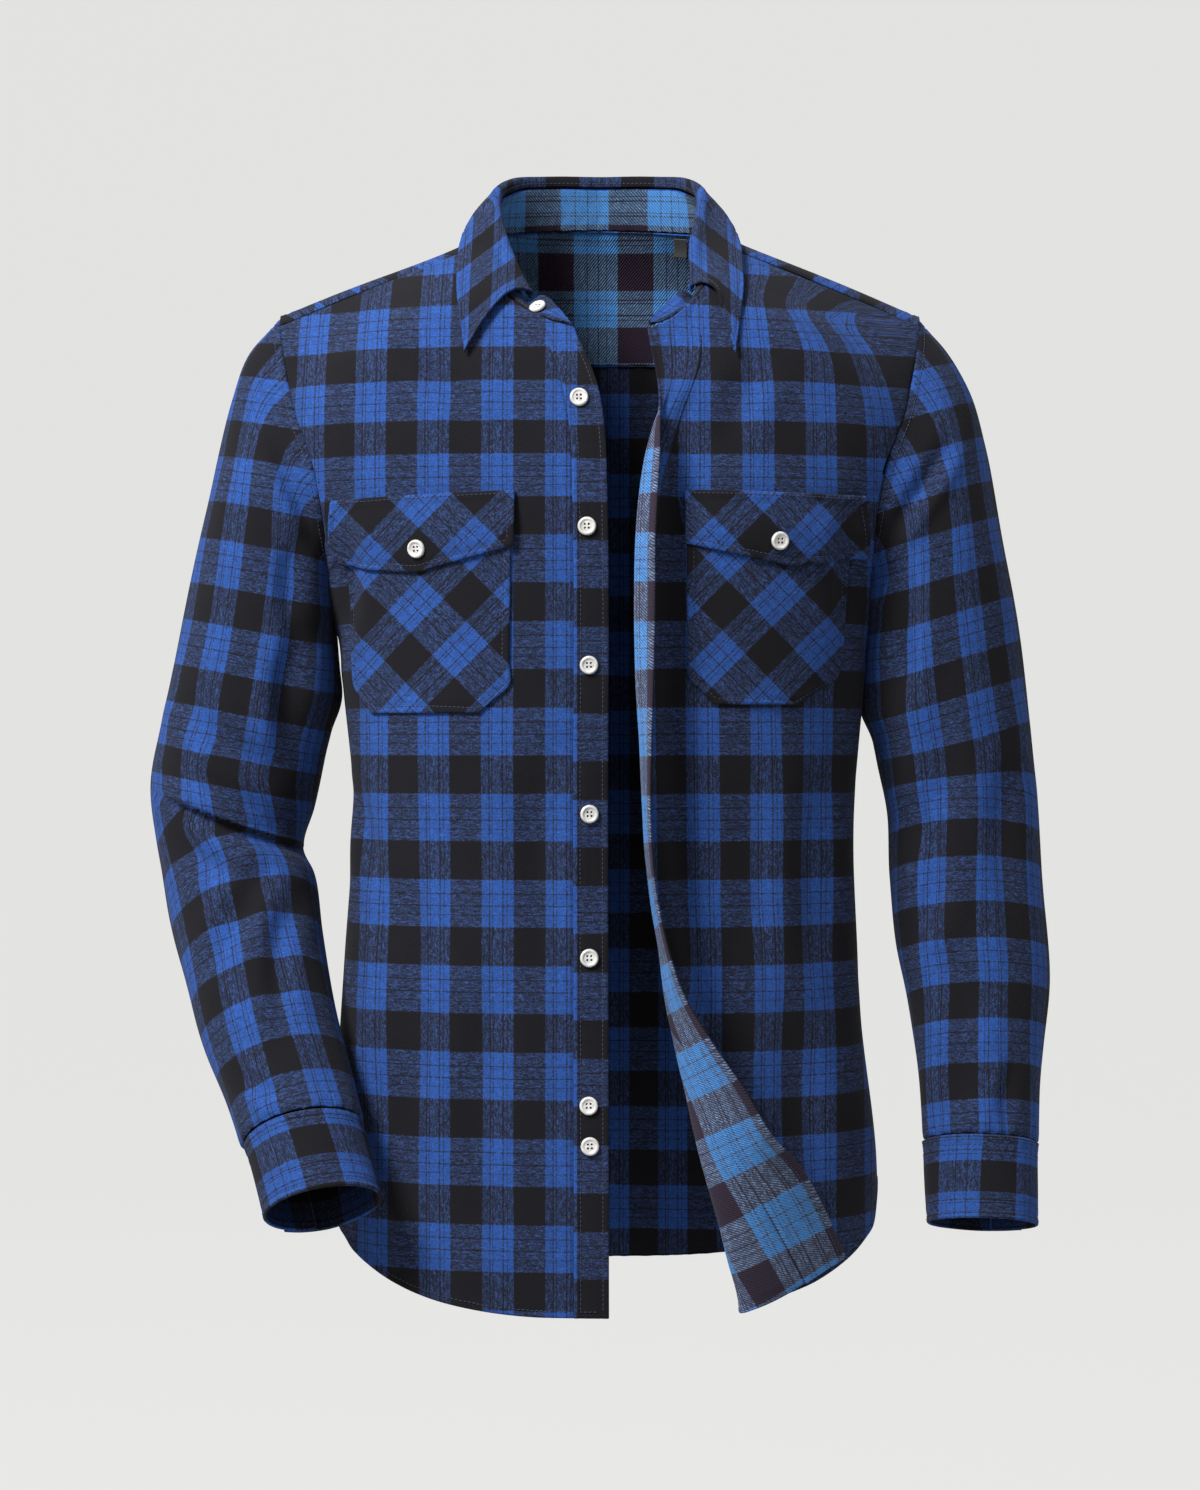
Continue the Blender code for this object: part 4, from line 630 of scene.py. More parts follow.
def evened(panel, first, share):
    """The panel with its rows above the first drawn towards the patch that their four edges span."""
    part = panel[first:]
    v, u = np.linspace(0, 1, len(part))[:, None, None], share[:, None]
    low, top, inner, outer = part[0], part[-1], part[:, :1], part[:, -1:]
    corners = (low[0] * (1 - u) + low[-1] * u) * (1 - v) + (top[0] * (1 - u) + top[-1] * u) * v
    patch = low * (1 - v) + top * v + inner * (1 - u) + outer * u - corners
    panel[first:] = part + (patch - part) * ease(v, 0.0, 0.9)
    return panel


def stand_off(side, x, z, off):
    """Points in front of the chest at x, z, moved outwards from it by off."""
    x, z = np.asarray(x, float), np.asarray(z, float)
    step = 0.002
    y = torso(side, x, z)
    dx = (torso(side, x + step, z) - torso(side, np.maximum(x - step, 0), z)) / (2 * step)
    dz = (torso(side, x, z + step) - torso(side, x, z - step)) / (2 * step)
    out = np.stack([side * dx, -np.ones_like(dx), dz], -1)
    out = unit(np.clip(out, -1.2, 1.2))  # steep places lean no further than this
    return np.stack([side * x, y, z], -1) + out * np.asarray(off)[..., None]


def back_grid():
    """The back, from the hem to the yoke's seam, right to left."""
    s = np.linspace(-1, 1, COLS_BACK + 1)
    arm = armhole_stretch(ARMPIT, YOKE_BACK, BACK_ARM)
    seam = back_seam()
    rows = []
    for up in np.linspace(0, 1, ROWS_BODY + 1):
        share = np.abs(s)
        for _ in range(6):
            z = row_height(share, up, "back")
            share = spread_x(1, z, np.abs(s), 0.0, False) / edge_of(1, z, False)[0]
        rows.append(back_points(s, z))
    for k in range(1, BACK_ARM + 1):
        mid = CHEST_ROW[0] + (seam[COLS_BACK // 2, 2] - CHEST_ROW[0]) * k / BACK_ARM
        z = mid + (arm[k, 2] - mid) * np.abs(s) ** SEAM_BEND
        rows.append(back_points(s, seam[:, 2] if k == BACK_ARM else z))
    return np.array(rows)


# ---- collar
# the collar's fold, then the stand's free top edge, on each side of the middle of the back
FOLD_RIGHT = table(
    "run x y z",
    (0.00, 0.0000, 0.0600, 0.0550),
    (0.20, 0.0370, 0.0530, 0.0542),
    (0.38, 0.0620, 0.0330, 0.0485),
    (0.50, 0.0705, 0.0060, 0.0350),
    (0.58, 0.0685, -0.0160, 0.0170),
    (0.67, 0.0635, -0.0360, -0.0020),
    (0.76, 0.0565, -0.0540, -0.0210),
    (0.86, 0.0449, -0.0720, -0.0452),
    (0.93, 0.0359, -0.0850, -0.0502),
    (0.985, 0.0216, -0.0990, -0.0665),
    (1.00, 0.0188, -0.1030, -0.0705),
)
FOLD_LEFT = table(
    "run x y z",
    (0.00, 0.0000, 0.0600, 0.0550),
    (0.20, 0.0370, 0.0530, 0.0542),
    (0.38, 0.0615, 0.0330, 0.0485),
    (0.50, 0.0690, 0.0060, 0.0350),
    (0.58, 0.0665, -0.0160, 0.0150),
    (0.67, 0.0615, -0.0380, -0.0050),
    (0.76, 0.0603, -0.0560, -0.0235),
    (0.84, 0.0599, -0.0710, -0.0415),
    (0.90, 0.0545, -0.0790, -0.0455),
    (0.95, 0.0430, -0.0880, -0.0560),
    (1.00, 0.0325, -0.1020, -0.0705),
)
# the leaf's free edge, from the middle of the back to its tip
LEAF_EDGE = table(
    "run x y z",
    (0.00, 0.0000, 0.0900, 0.0050),
    (0.20, 0.0450, 0.0830, 0.0045),
    (0.38, 0.0800, 0.0560, 0.0040),
    (0.50, 0.0955, 0.0150, 0.0040),
    (0.58, 0.0970, -0.0130, -0.0010),
    (0.67, 0.0968, -0.0450, -0.0240),
    (0.76, 0.0962, -0.0750, -0.0490),
    (0.86, 0.0908, -0.1080, -0.0905),
)
YOKE_RUN = 0.53  # of the collar's half, where the yoke's seam meets it
LEAF_RUN = {-1: 0.86, 1: 0.84}  # where the leaf ends, right and left
LEAF_CLEAR = 0.0030  # least distance of the leaf from what is below it
TOP_OUT, TOP_DOWN = 0.0014, 0.0072  # the stand's top edge against the fold


def neck_seam(run, side):
    """The whole neck seam of one side: 0 is the middle of the back, 1 the front's end."""
    run = np.asarray(run, float)
    behind = neck_back(side, 1 - np.clip(run / YOKE_RUN, 0, 1))
    ahead = neck_front(side, 1 - np.clip((run - YOKE_RUN) / (1 - YOKE_RUN), 0, 1))
    return np.where((run < YOKE_RUN)[..., None], behind, ahead)


def collar_frame(run, side):
    """Neck seam, fold, and the directions out of the collar and up across its fold."""
    fold, near, far = (run_point(FOLD_LEFT if side > 0 else FOLD_RIGHT, np.clip(run + d, 0, 1), side)
                       for d in (0.0, -0.04, 0.04))
    line = unit((far - near) * side)
    out = fold * (1, 1, 0) + (0, 0.01, 0)
    out = unit(out - line * (out @ line))
    return neck_seam(run, side), fold, out, np.cross(line, out)


def collar_lines(run, side):
    """The neck seam and the stand's top at one place."""
    low, fold, out, up = collar_frame(run, side)
    covered = 1 - ease(run, LEAF_RUN[side] + 0.010, LEAF_RUN[side] + 0.050)
    return low, fold + (out * TOP_OUT - up * TOP_DOWN) * covered


def both_sides(count, whole=True):
    """Places from the collar's right end to its left, as run and side; the leaf ends before the whole."""
    places = []
    for side in (-1, 1):
        last = LEAF_RUN[side] + (0.008 if whole else 0)
        run = np.append(np.linspace(0, last, count + 1), np.linspace(last, 1, 5)[1:] if whole else [])
        places.append([(r, side) for r in (run[::-1] if side < 0 else run[1:])])
    return places[0] + places[1]


def stand_grid():
    """Outer face of the stand, from its neck seam up to the leaf."""
    rows = []
    for run, side in both_sides(COLS_COLLAR // 2 - 3):
        low, top = collar_lines(np.array(run), side)
        seat = stand_seat(low, top, run)
        f = np.linspace(0, 1, ROWS_STAND + 1)[:, None]
        rows.append(seat * (1 - f) + top * f)
    return np.swapaxes(np.array(rows), 0, 1)


def stand_seat(low, top, run):
    """The stand's lower edge, clear of the panels' edges, which lie across it in front."""
    return low + unit(top - low) * (SEAM + 0.0005 + 0.0030 * ease(run, 0.5, 0.7))


def held_off(points, faces, least, reach=0.009):
    """Points pushed out to at least this height over the faces near them: faces are (points, normals)."""
    gap = points[:, None] - faces[0]
    weight = np.exp(-(gap ** 2).sum(-1) / (2 * reach ** 2))
    normal = unit(weight @ faces[1])
    height = ((gap * normal[:, None]).sum(-1) * weight).sum(1) / np.maximum(weight.sum(1), 1e-12)
    return points + normal * (np.maximum(least - height, 0) * ease(weight.sum(1), 0.02, 0.3))[:, None]


def finer(grid, times):
    """The grid with each cell parted into times by times."""
    for axis in (0, 1):
        n = grid.shape[axis]
        at = np.linspace(0, n - 1, (n - 1) * times + 1)
        low = np.minimum(at.astype(int), n - 2)
        part = (at - low).reshape((-1, 1, 1) if axis == 0 else (1, -1, 1))
        grid = np.take(grid, low, axis) * (1 - part) + np.take(grid, low + 1, axis) * part
    return grid


def leaf_grid(under):
    """Face of the leaf: up from the stand, over the fold, and down outside it to the free edge."""
    rows = []
    for run, side in both_sides(COLS_COLLAR // 2 - 2, False):
        _low, fold, out, up = collar_frame(np.array(run), side)
        top = fold + out * TOP_OUT - up * TOP_DOWN
        edge = run_point(LEAF_EDGE, np.array(run / LEAF_RUN[side] * LEAF_EDGE["run"][-1]), side)
        start = top - out * TWO_PLY * 0.95 + up * 0.0026
        crest = fold + out * LEAF_ROLL * 0.75 + up * LEAF_ROLL * 0.35
        over = fold + out * LEAF_ROLL * 1.9 - up * LEAF_ROLL * 0.6
        middle = over * 0.45 + edge * 0.55 + out * 0.0040
        line = np.array([start, start * 0.45 + fold * 0.55 - out * 0.0003, crest, over, middle, edge])
        knots = run_of(line)
        at = np.concatenate([np.linspace(0, knots[3], 5), np.linspace(knots[3], knots[-1], 5)[1:]])
        points = smooth(knots, line, at)
        for _ in range(3):
            points[4:] = held_off(points[4:], under, TWO_PLY + LEAF_CLEAR)
        rows.append(points)
    return np.swapaxes(np.array(rows), 0, 1)


# ---- cuffs
def cuff_grid(tab, side):
    """Outer face of a cuff: once round the wrist, then on over its own start, where it is buttoned."""
    last = tab["key"][-1]
    rows = np.linspace(last - CUFF_ROWS + 0.025, last, 4)
    radius = (tab["depth"][-1] + (tab["out_x"][-1] - tab["in_x"][-1]) / 2) / 2
    start = -0.42 * math.pi  # almost a quarter turn behind the outer end
    round_once = start + 2 * math.pi
    angle = np.linspace(start, round_once + CUFF_LAP / radius, 27)
    lift = ease(angle, round_once - 0.75, round_once - 0.12) * (TWO_PLY + 0.0009)
    grid = ring(tab, rows[:, None] + 0 * angle, angle + 0 * rows[:, None])
    return (grid + face_normals(grid, False) * lift[None, :, None]) * (side, 1, 1)


# ---- pockets and flaps
# outlines on the chest: distance from the middle of the inner and outer edge at each height
POCKET_RIGHT = table("z inner outer",
                     (-0.3318, 0.0800, 0.1540), (-0.3140, 0.0605, 0.1668),
                     (-0.2700, 0.0602, 0.1705), (-0.2000, 0.0590, 0.1735))
POCKET_LEFT = table("z inner outer",
                    (-0.3262, 0.0760, 0.1320), (-0.3080, 0.0590, 0.1600),
                    (-0.2680, 0.0582, 0.1675), (-0.1960, 0.0578, 0.1705))
# flaps: top and bottom edge at each distance from the middle
FLAP_RIGHT = table("x top bottom", (0.0567, -0.1835, -0.2205), (0.0870, -0.1846, -0.2285),
                   (0.1228, -0.1858, -0.2376), (0.1500, -0.1866, -0.2345), (0.1720, -0.1872, -0.2310),
                   (0.1800, -0.1873, -0.2160))
FLAP_LEFT = table("x top bottom", (0.0567, -0.1829, -0.2192), (0.0868, -0.1833, -0.2255),
                  (0.1255, -0.1840, -0.2328), (0.1549, -0.1845, -0.2285), (0.1783, -0.1842, -0.2245))
POCKET_OFF, FLAP_OFF = LIFT + CLOTH + 0.0003, 2 * LIFT + 2 * CLOTH + 0.0010  # faces off the chest


def on_chest(side, x, z, off):
    """Points at x, z on a front, moved off it; the left front's hollow is followed."""
    if side > 0:
        off = off + beside_fold(x, z)
    return stand_off(side, x, z, off)


def straight(tab, name, at):
    """A table's column read along straight lines."""
    return np.interp(at, tab["key"], tab[name])


def even_x(side, z, inner, outer, count):
    """Distances from the middle that are evenly spaced round the chest at height z."""
    return round_section(section(side, z)[2], inner, outer, np.linspace(0, 1, count))


def pocket_grid(side, tab):
    """A patch pocket on its chest: pointed or slanted below its second row, straight above it."""
    low, middle, top = tab["z"][0], tab["z"][1], tab["z"][-1]
    z = np.append(np.linspace(low, middle, 3)[:-1], np.linspace(middle, top, 8))
    inner, outer = straight(tab, "inner", z), straight(tab, "outer", z)
    x = np.array([even_x(side, z[i], inner[i], outer[i], 12) for i in range(len(z))])
    return on_chest(side, x, z[:, None] + 0 * x, 0 * x + POCKET_OFF)


def flap_grid(side, tab):
    """A pocket's flap: from its pointed lower edge up to its seam, swelling over the pocket's mouth."""
    x = even_x(side, tab["top"].mean(), tab["x"][0], tab["x"][-1], 13)
    point = tab["x"][np.argmin(tab["bottom"])]
    x[np.argmin(np.abs(x - point))] = point
    top, low = straight(tab, "top", x), straight(tab, "bottom", x)
    h = np.linspace(0, 1, 5)[:, None]
    z = low * (1 - h) + top * h
    swell = 0.0010 * np.sin(math.pi * np.minimum(h * 1.3, 1))  # over the pocket's mouth
    sewn = (FLAP_OFF - LIFT - CLOTH - 0.0007) * ease(h, 0.6, 1)  # down to the panel along its top
    return on_chest(side, x + 0 * z, z, FLAP_OFF + swell - sewn + 0 * z)


# ---- walls
def face_normals(grid, closed):
    """Outward normals at the points of a grid whose rows go up and columns go round."""
    g = np.concatenate([grid[:, -1:], grid, grid[:, :1]], 1) if closed else grid
    n = np.cross(np.gradient(g, axis=1), np.gradient(g, axis=0))
    n = n[:, 1:-1] if closed else n
    return unit(n)


def away(near, far, tangent):
    """Unit directions from near to far, across the seam's own direction."""
    t, d = unit(tangent), far - near
    return unit(d - (d * t).sum(-1, keepdims=True) * t)


def rim_of(grid, closed):
    """The rim's points, and for each the direction in the cloth away from its seam."""
    out, mask = np.zeros_like(grid), np.zeros(grid.shape[:2], bool)
    along_rows, along_cols = np.gradient(grid, axis=1), np.gradient(grid, axis=0)
    for near, far in ((0, 1), (-1, -2)):
        out[near] += away(grid[near], grid[far], along_rows[near])
        mask[near] = True
        if not closed:
            out[:, near] += away(grid[:, near], grid[:, far], along_cols[:, near])
            mask[:, near] = True
    return out, mask


def frame_at(grid, i, j):
    """The point and outward normal of a grid at a place between its points."""
    i0, j0 = int(i), int(j)
    u, v = i - i0, j - j0
    rows, cols = [i0, min(i0 + 1, grid.shape[0] - 1)], [j0, min(j0 + 1, grid.shape[1] - 1)]
    share = np.outer((1 - u, u), (1 - v, v))[..., None]
    corners, normals = grid[np.ix_(rows, cols)], face_normals(grid, False)[np.ix_(rows, cols)]
    n = (normals * share).sum((0, 1))
    return (corners * share).sum((0, 1)), unit(n)


# ---- places in the cut cloth
WARP, WEFT = 0.0427, 0.0577  # repeat of the checks, across and along the cloth
STEP = 0.0030  # mesh size of the cloth
FIRST_BLUE = {-1: -0.2074, 1: 0.0528}  # x where a blue stripe starts on the right and left front
FIRST_DARK = 0.3026  # depth under the origin where a dark row starts on the fronts
CHEST_SLOPE = 0.0158  # length of cloth that the slope above the armpits hides
STRIP_BLUE = 0.0050  # how far from its free edge the placket's blue stripe starts
STRIP_SCALE = 1.2  # how much wider the placket's stripes are drawn
TURNED_BLUE = 0.0240  # how far from the free edge the turned panel's stripe starts
BAND_SHIFT = 0.0040  # how much lower the button band's checks lie than the panel's
RIM_ROWS = (0.0, 0.0006, 0.0014, 0.0024, 0.0036, 0.0050, 0.0064)  # points beside a seam or an edge


def rows_at(z):
    """How far along the cloth a front's point at height z lies: the chest slopes back near the top."""
    return -z - CHEST_SLOPE * ease(z, -0.20, -0.06) - FIRST_DARK


def with_cut(grid, across, along_cloth):
    """A grid of points with two more columns: where each lies in the cut cloth."""
    more = [np.broadcast_to(column, grid.shape[:2])[..., None] for column in (across, along_cloth)]
    return np.concatenate([grid, *more], -1)


def places(low, high, step, rims):
    """Places from low to high at about one step, and closer by the two rims."""
    near = np.array(RIM_ROWS) if rims and high - low > 0.02 else np.zeros(1)
    inner = (low + near[-1] * 1.6, high - near[-1] * 1.6)
    count = max(2, math.ceil((inner[1] - inner[0]) / step) + 1)
    if len(near) == 1:
        return np.linspace(low, high, count)
    return np.concatenate([low + near, np.linspace(*inner, count), high - near[::-1]])


def fine(grid, step=STEP, closed=False, step_across=None, rims=(True, True)):
    """The grid read at closer places: splines along its columns, then along its rows."""
    for axis, size in ((0, step), (1, step_across or step)):
        g = np.moveaxis(grid, axis, 0)
        wrap = closed and axis == 1
        if wrap:
            g = np.concatenate([g[-3:], g, g[:4]])
        cells = np.linalg.norm(np.diff(g[..., :3], axis=0), axis=-1).mean(1)
        knots = np.concatenate([[0], np.cumsum(cells)])
        low, high = (knots[3], knots[-4]) if wrap else (0, knots[-1])
        at = places(low, high, size, rims[axis] and not wrap)
        g = smooth(knots, g.reshape(len(g), -1), at).reshape(len(at), *g.shape[1:])
        grid = np.moveaxis(g[:-1] if wrap else g, 0, axis)
    return grid


def reach(grid, closed=False):
    """Distance along the cloth of each point from the first and last row, then from the columns."""
    found = []
    for axis in (0, 1):
        run = run_of(grid[..., :3], axis)
        total = np.take(run, [-1], axis)
        found += [run, total - run] if axis == 0 or not closed else [run * 0 + 1, run * 0 + 1]
    return found


# ---- drape, creases and seams
DRAPE_SEED = 11
CREASE_DEPTH = 1.7  # every crease's depth is multiplied by this


def drape(points, wave, high):
    """Slow hollows and swells: waves in seeded directions through space, so joined pieces agree."""
    rng = np.random.default_rng(DRAPE_SEED)
    total = 0
    for _ in range(10):
        way = rng.normal(size=3) * (1.0, 0.6, 0.6)
        way *= 2 * math.pi / (wave * rng.uniform(0.6, 1.9) * np.linalg.norm(way))
        total = total + np.cos(points[..., :3] @ way + rng.uniform(0, 2 * math.pi))
    return total * high / 3.2


def creases(points, facing, tab):
    """Folds along curves through three places each: a trough with soft shoulders, deepest midway.

    A row gives the curve's ends and middle as x, z; the trough's width and depth; how far one
    shoulder stands above the other; and whether it lies on the front (-1) or the back (1).
    """
    total = np.zeros(points.shape[:2])
    t = np.linspace(0, 1, 25)[:, None]
    for k in range(len(tab["key"])):
        p = [np.array([tab["x" + e][k], tab["z" + e][k]]) for e in "abc"]
        bend = 2 * p[1] - (p[0] + p[2]) / 2
        line = p[0] * (1 - t) ** 2 + 2 * bend * t * (1 - t) + p[2] * t ** 2
        wide = tab["wide"][k]
        low, high = line.min(0) - 4 * wide, line.max(0) + 4 * wide
        x, z, face = points[..., 0], points[..., 2], facing * tab["side"][k]
        near = (x > low[0]) & (x < high[0]) & (z > low[1]) & (z < high[1]) & (face > 0.02)
        if not near.any():
            continue
        q = np.stack([x[near], z[near]], -1)
        start, run = line[:-1], np.diff(line, axis=0)
        part = np.clip(((q[:, None] - start) * run).sum(-1) / (run * run).sum(-1), 0, 1)
        off = q[:, None] - start - run * part[..., None]
        far = np.linalg.norm(off, axis=-1)
        best = far.argmin(1)
        pick = np.arange(len(q))
        far, part, off, run = far[pick, best], part[pick, best], off[pick, best], run[best]
        aside = (off[:, 0] * run[:, 1] - off[:, 1] * run[:, 0]) / np.linalg.norm(run, axis=-1)
        hand = np.tanh(aside / (wide * 0.5))
        place = (best + part) / (len(t) - 1)
        d = far / wide
        shoulders = 0.45 * np.exp(-((d - 1.8) / 0.9) ** 2) * (1 + hand * tab["lean"][k])
        ends = np.sin(math.pi * np.clip(place * 0.92 + 0.04, 0, 1)) ** 0.8
        deep = tab["deep"][k] * CREASE_DEPTH * ends * ease(face[near], 0.02, 0.30)
        total[near] += (shoulders - np.exp(-d * d)) * deep
    return total


# height of the cloth's face by distance from a seam, and from a free edge stitched near its rim
SEAM_DIP = table("d high", (0, -0.0010), (0.0006, -0.0008), (0.0014, -0.0004), (0.0024, -0.0001),
                 (0.0064, 0.0001), (0.012, 0))
LAP = table("d high", (0, -0.0008), (0.0006, 0.0), (0.0014, 0.0006), (0.0050, 0.0004),
            (0.0064, -0.0003), (0.0085, 0.0003), (0.014, 0))
EDGE = table("d high", (0, -0.0003), (0.0006, 0.0002), (0.0024, 0.0004), (0.0050, -0.0004),
             (0.0075, 0.0003), (0.012, 0))
HEMMED = table("d high", (0, -0.0003), (0.0006, 0.0003), (0.0024, 0.0003), (0.0036, -0.0003),
               (0.0050, 0.0003), (0.0064, -0.0002), (0.0095, 0))


def by_rim(profile, *distances):
    """A rim's profile, read by the distance from the nearest of some edges."""
    return straight(profile, "high", functools.reduce(np.minimum, distances))


def pucker(distance, run, high=0.00030, wave=0.0085, seed=1):
    """Small gathers that a row of stitches pulls into the cloth, fading away from it."""
    rng = np.random.default_rng(seed)
    slow = 2 * math.pi * run / (wave * rng.uniform(4, 6)) + rng.uniform(0, 6)
    beat = 2 * math.pi * run / wave + 1.7 * np.sin(slow)
    return high * np.sin(beat) * np.exp(-distance / 0.009) * (1 - np.exp(-distance / 0.0012))


# ---- meshes
def mesh_object(name, verts, faces, finishes, slots=None, cut=None):
    """A mesh from arrays: points, faces of one size, a finish for each and a cut place a corner."""
    mesh = bpy.data.meshes.new(name)
    mesh.vertices.add(len(verts))
    mesh.vertices.foreach_set("co", np.ascontiguousarray(verts, np.float32).ravel())
    mesh.loops.add(faces.size)
    mesh.loops.foreach_set("vertex_index", faces.astype(np.int32).ravel())
    mesh.polygons.add(len(faces))
    mesh.polygons.foreach_set("loop_start", np.arange(0, faces.size, faces.shape[1], dtype=np.int32))
    if slots is not None:
        mesh.polygons.foreach_set("material_index", slots.astype(np.int32))
    mesh.polygons.foreach_set("use_smooth", np.ones(len(faces), bool))
    mesh.update(calc_edges=True)
    if cut is not None:
        layer = mesh.uv_layers.new(name="cut")
        layer.data.foreach_set("uv", np.ascontiguousarray(cut, np.float32).ravel())
    for finish in finishes:
        mesh.materials.append(finish)
    obj = bpy.data.objects.new(name, mesh)
    bpy.context.scene.collection.objects.link(obj)
    return obj


def turned_quads(rows, cols):
    """A grid's point numbers, with the first column again at the end, and its faces all round."""
    ids = np.arange(rows * cols).reshape(rows, cols)
    ids = np.concatenate([ids, ids[:, :1]], 1)
    return ids, np.stack([k.ravel() for k in (ids[:-1, :-1], ids[1:, :-1], ids[1:, 1:], ids[:-1, 1:])], 1)


def cloth(name, points, cut, thick, finishes, closed=False, flip=False):
    """A closed shell: the face grid, the same grid moved in by the thickness, a rounded rim between.

    cut has one column more than the points where the rows close round.
    """
    normal = face_normals(points, closed) * (-1 if flip else 1)
    inner = points - normal * thick
    apart, mask = rim_of(points, closed)
    rim = (points + inner) / 2 - unit(apart) * thick * 0.4
    rows, cols = points.shape[:2]
    count = rows * cols
    ids = np.arange(count).reshape(rows, cols)
    if closed:
        ids = np.concatenate([ids, ids[:, :1]], 1)
    place = np.arange(ids.size).reshape(ids.shape)
    a, b, c, d = place[:-1, :-1], place[:-1, 1:], place[1:, 1:], place[1:, :-1]
    quads = np.stack([x.ravel() for x in (a, b, c, d)], 1)
    pairs = [np.stack([place[0, 1:], place[0, :-1]], 1), np.stack([place[-1, :-1], place[-1, 1:]], 1)]
    if not closed:
        pairs += [np.stack([place[:-1, 0], place[1:, 0]], 1), np.stack([place[1:, -1], place[:-1, -1]], 1)]
    pairs = np.concatenate(pairs)
    rank = np.full(count, 0)
    rank[mask.ravel()] = np.arange(mask.sum())
    ids = ids.ravel()
    band = pairs[:, [0, 1, 1, 0]]
    first, second = ids[pairs[:, 0]], ids[pairs[:, 1]]
    upper = np.stack([first, second, 2 * count + rank[second], 2 * count + rank[first]], 1)
    lower = np.stack([upper[:, 3], upper[:, 2], count + second, count + first], 1)
    faces = np.concatenate([ids[quads], ids[quads[:, ::-1]] + count, upper, lower])
    corner = np.concatenate([quads, quads[:, ::-1], band, band])
    slots = np.concatenate([np.zeros(len(quads)), np.ones(len(quads)), np.zeros(2 * len(band))])
    if flip:
        faces, corner = faces[:, ::-1], corner[:, ::-1]
    verts = np.concatenate([points.reshape(-1, 3), inner.reshape(-1, 3), rim[mask]])
    return mesh_object(name, verts, faces, finishes, slots, cut.reshape(-1, 2)[corner])


# ---- finishes
def put(tree, kind, inputs=(), **settings):
    """A node with its settings and inputs: each input is a number, a colour or another node's output."""
    node = tree.nodes.new(kind)
    for key, value in settings.items():
        setattr(node, key, value)
    for key, value in dict(inputs).items():
        if isinstance(value, bpy.types.NodeSocket):
            tree.links.new(value, node.inputs[key])
        else:
            node.inputs[key].default_value = value
    return node


def calc(tree, operation, *values):
    """The result of one sum or function of numbers and outputs."""
    return put(tree, "ShaderNodeMath", enumerate(values), operation=operation).outputs[0]


def spread_out(tree, value, low, high):
    """0 where a value is at low or under it, 1 at high or over it, straight between."""
    return put(tree, "ShaderNodeMapRange", {"Value": value, "From Min": low, "From Max": high}).outputs[0]


def about_one(tree, value, size):
    """A factor that swings about 1 as a value swings about a half."""
    return calc(tree, "MULTIPLY_ADD", calc(tree, "SUBTRACT", value, 0.5), size, 1.0)


def blend_colours(tree, factor, first, second, clamp=True):
    """A colour between two, each a colour or an output."""
    node = put(tree, "ShaderNodeMix", {"Factor": factor}, data_type="RGBA", clamp_factor=clamp)
    for socket, value in ((node.inputs[6], first), (node.inputs[7], second)):
        if isinstance(value, bpy.types.NodeSocket):
            tree.links.new(value, socket)
        else:
            socket.default_value = value
    return node.outputs[2]


def noise(tree, vector, scale, detail=2.0, rough=0.5, bent=0.0):
    """Cloudy noise at this many spots a metre: its outputs are Fac and Color."""
    return put(tree, "ShaderNodeTexNoise", {
        "Vector": vector, "Scale": scale, "Detail": detail, "Roughness": rough,
        "Distortion": bent}).outputs


def principled(name):
    """A new finish, and its shader."""
    mat = bpy.data.materials.new(name)
    mat.use_nodes = True
    return mat, mat.node_tree.nodes["Principled BSDF"]


def set_sockets(node, **values):
    """Constants for a node's inputs, by their names with _ for a space."""
    for name, value in values.items():
        node.inputs[name.replace("_", " ")].default_value = value


def stripe(tree, place, repeat, middle, half, soft):
    """1 inside a stripe that comes back at each repeat, 0 outside, with soft edges."""
    share = calc(tree, "FRACT", calc(tree, "DIVIDE", place, repeat))
    shifted = calc(tree, "FRACT", calc(tree, "ADD", share, 0.5 - middle))
    off = calc(tree, "ABSOLUTE", calc(tree, "SUBTRACT", shifted, 0.5))
    edge = put(tree, "ShaderNodeMapRange", {"Value": off, "From Min": half - soft, "From Max": half + soft,
                                            "To Min": 1.0, "To Max": 0.0}, interpolation_type="SMOOTHSTEP")
    return edge.outputs[0]


# stripes and thin dark lines: middle and half width, in repeats of the checks
BLUE_WARP, BLUE_WEFT = (0.25, 0.25), (0.725, 0.275)
DEEP_WARP = (0.065, 0.065)  # a deeper part of the blue warp stripe
WARP_LINES = ((0.125, 0.0100), (0.170, 0.0070), (0.335, 0.0110), (0.400, 0.0060))
WEFT_LINES = ((0.615, 0.0065), (0.755, 0.0070), (0.860, 0.0040))
TWILL_PITCH = 0.0021  # distance between twill lines, along either yarn
YARN_SPOTS = (820.0, 270.0)  # flecks a metre across and along a blue yarn
HAIR_BLUE = (0.070, 0.082, 0.120, 1)


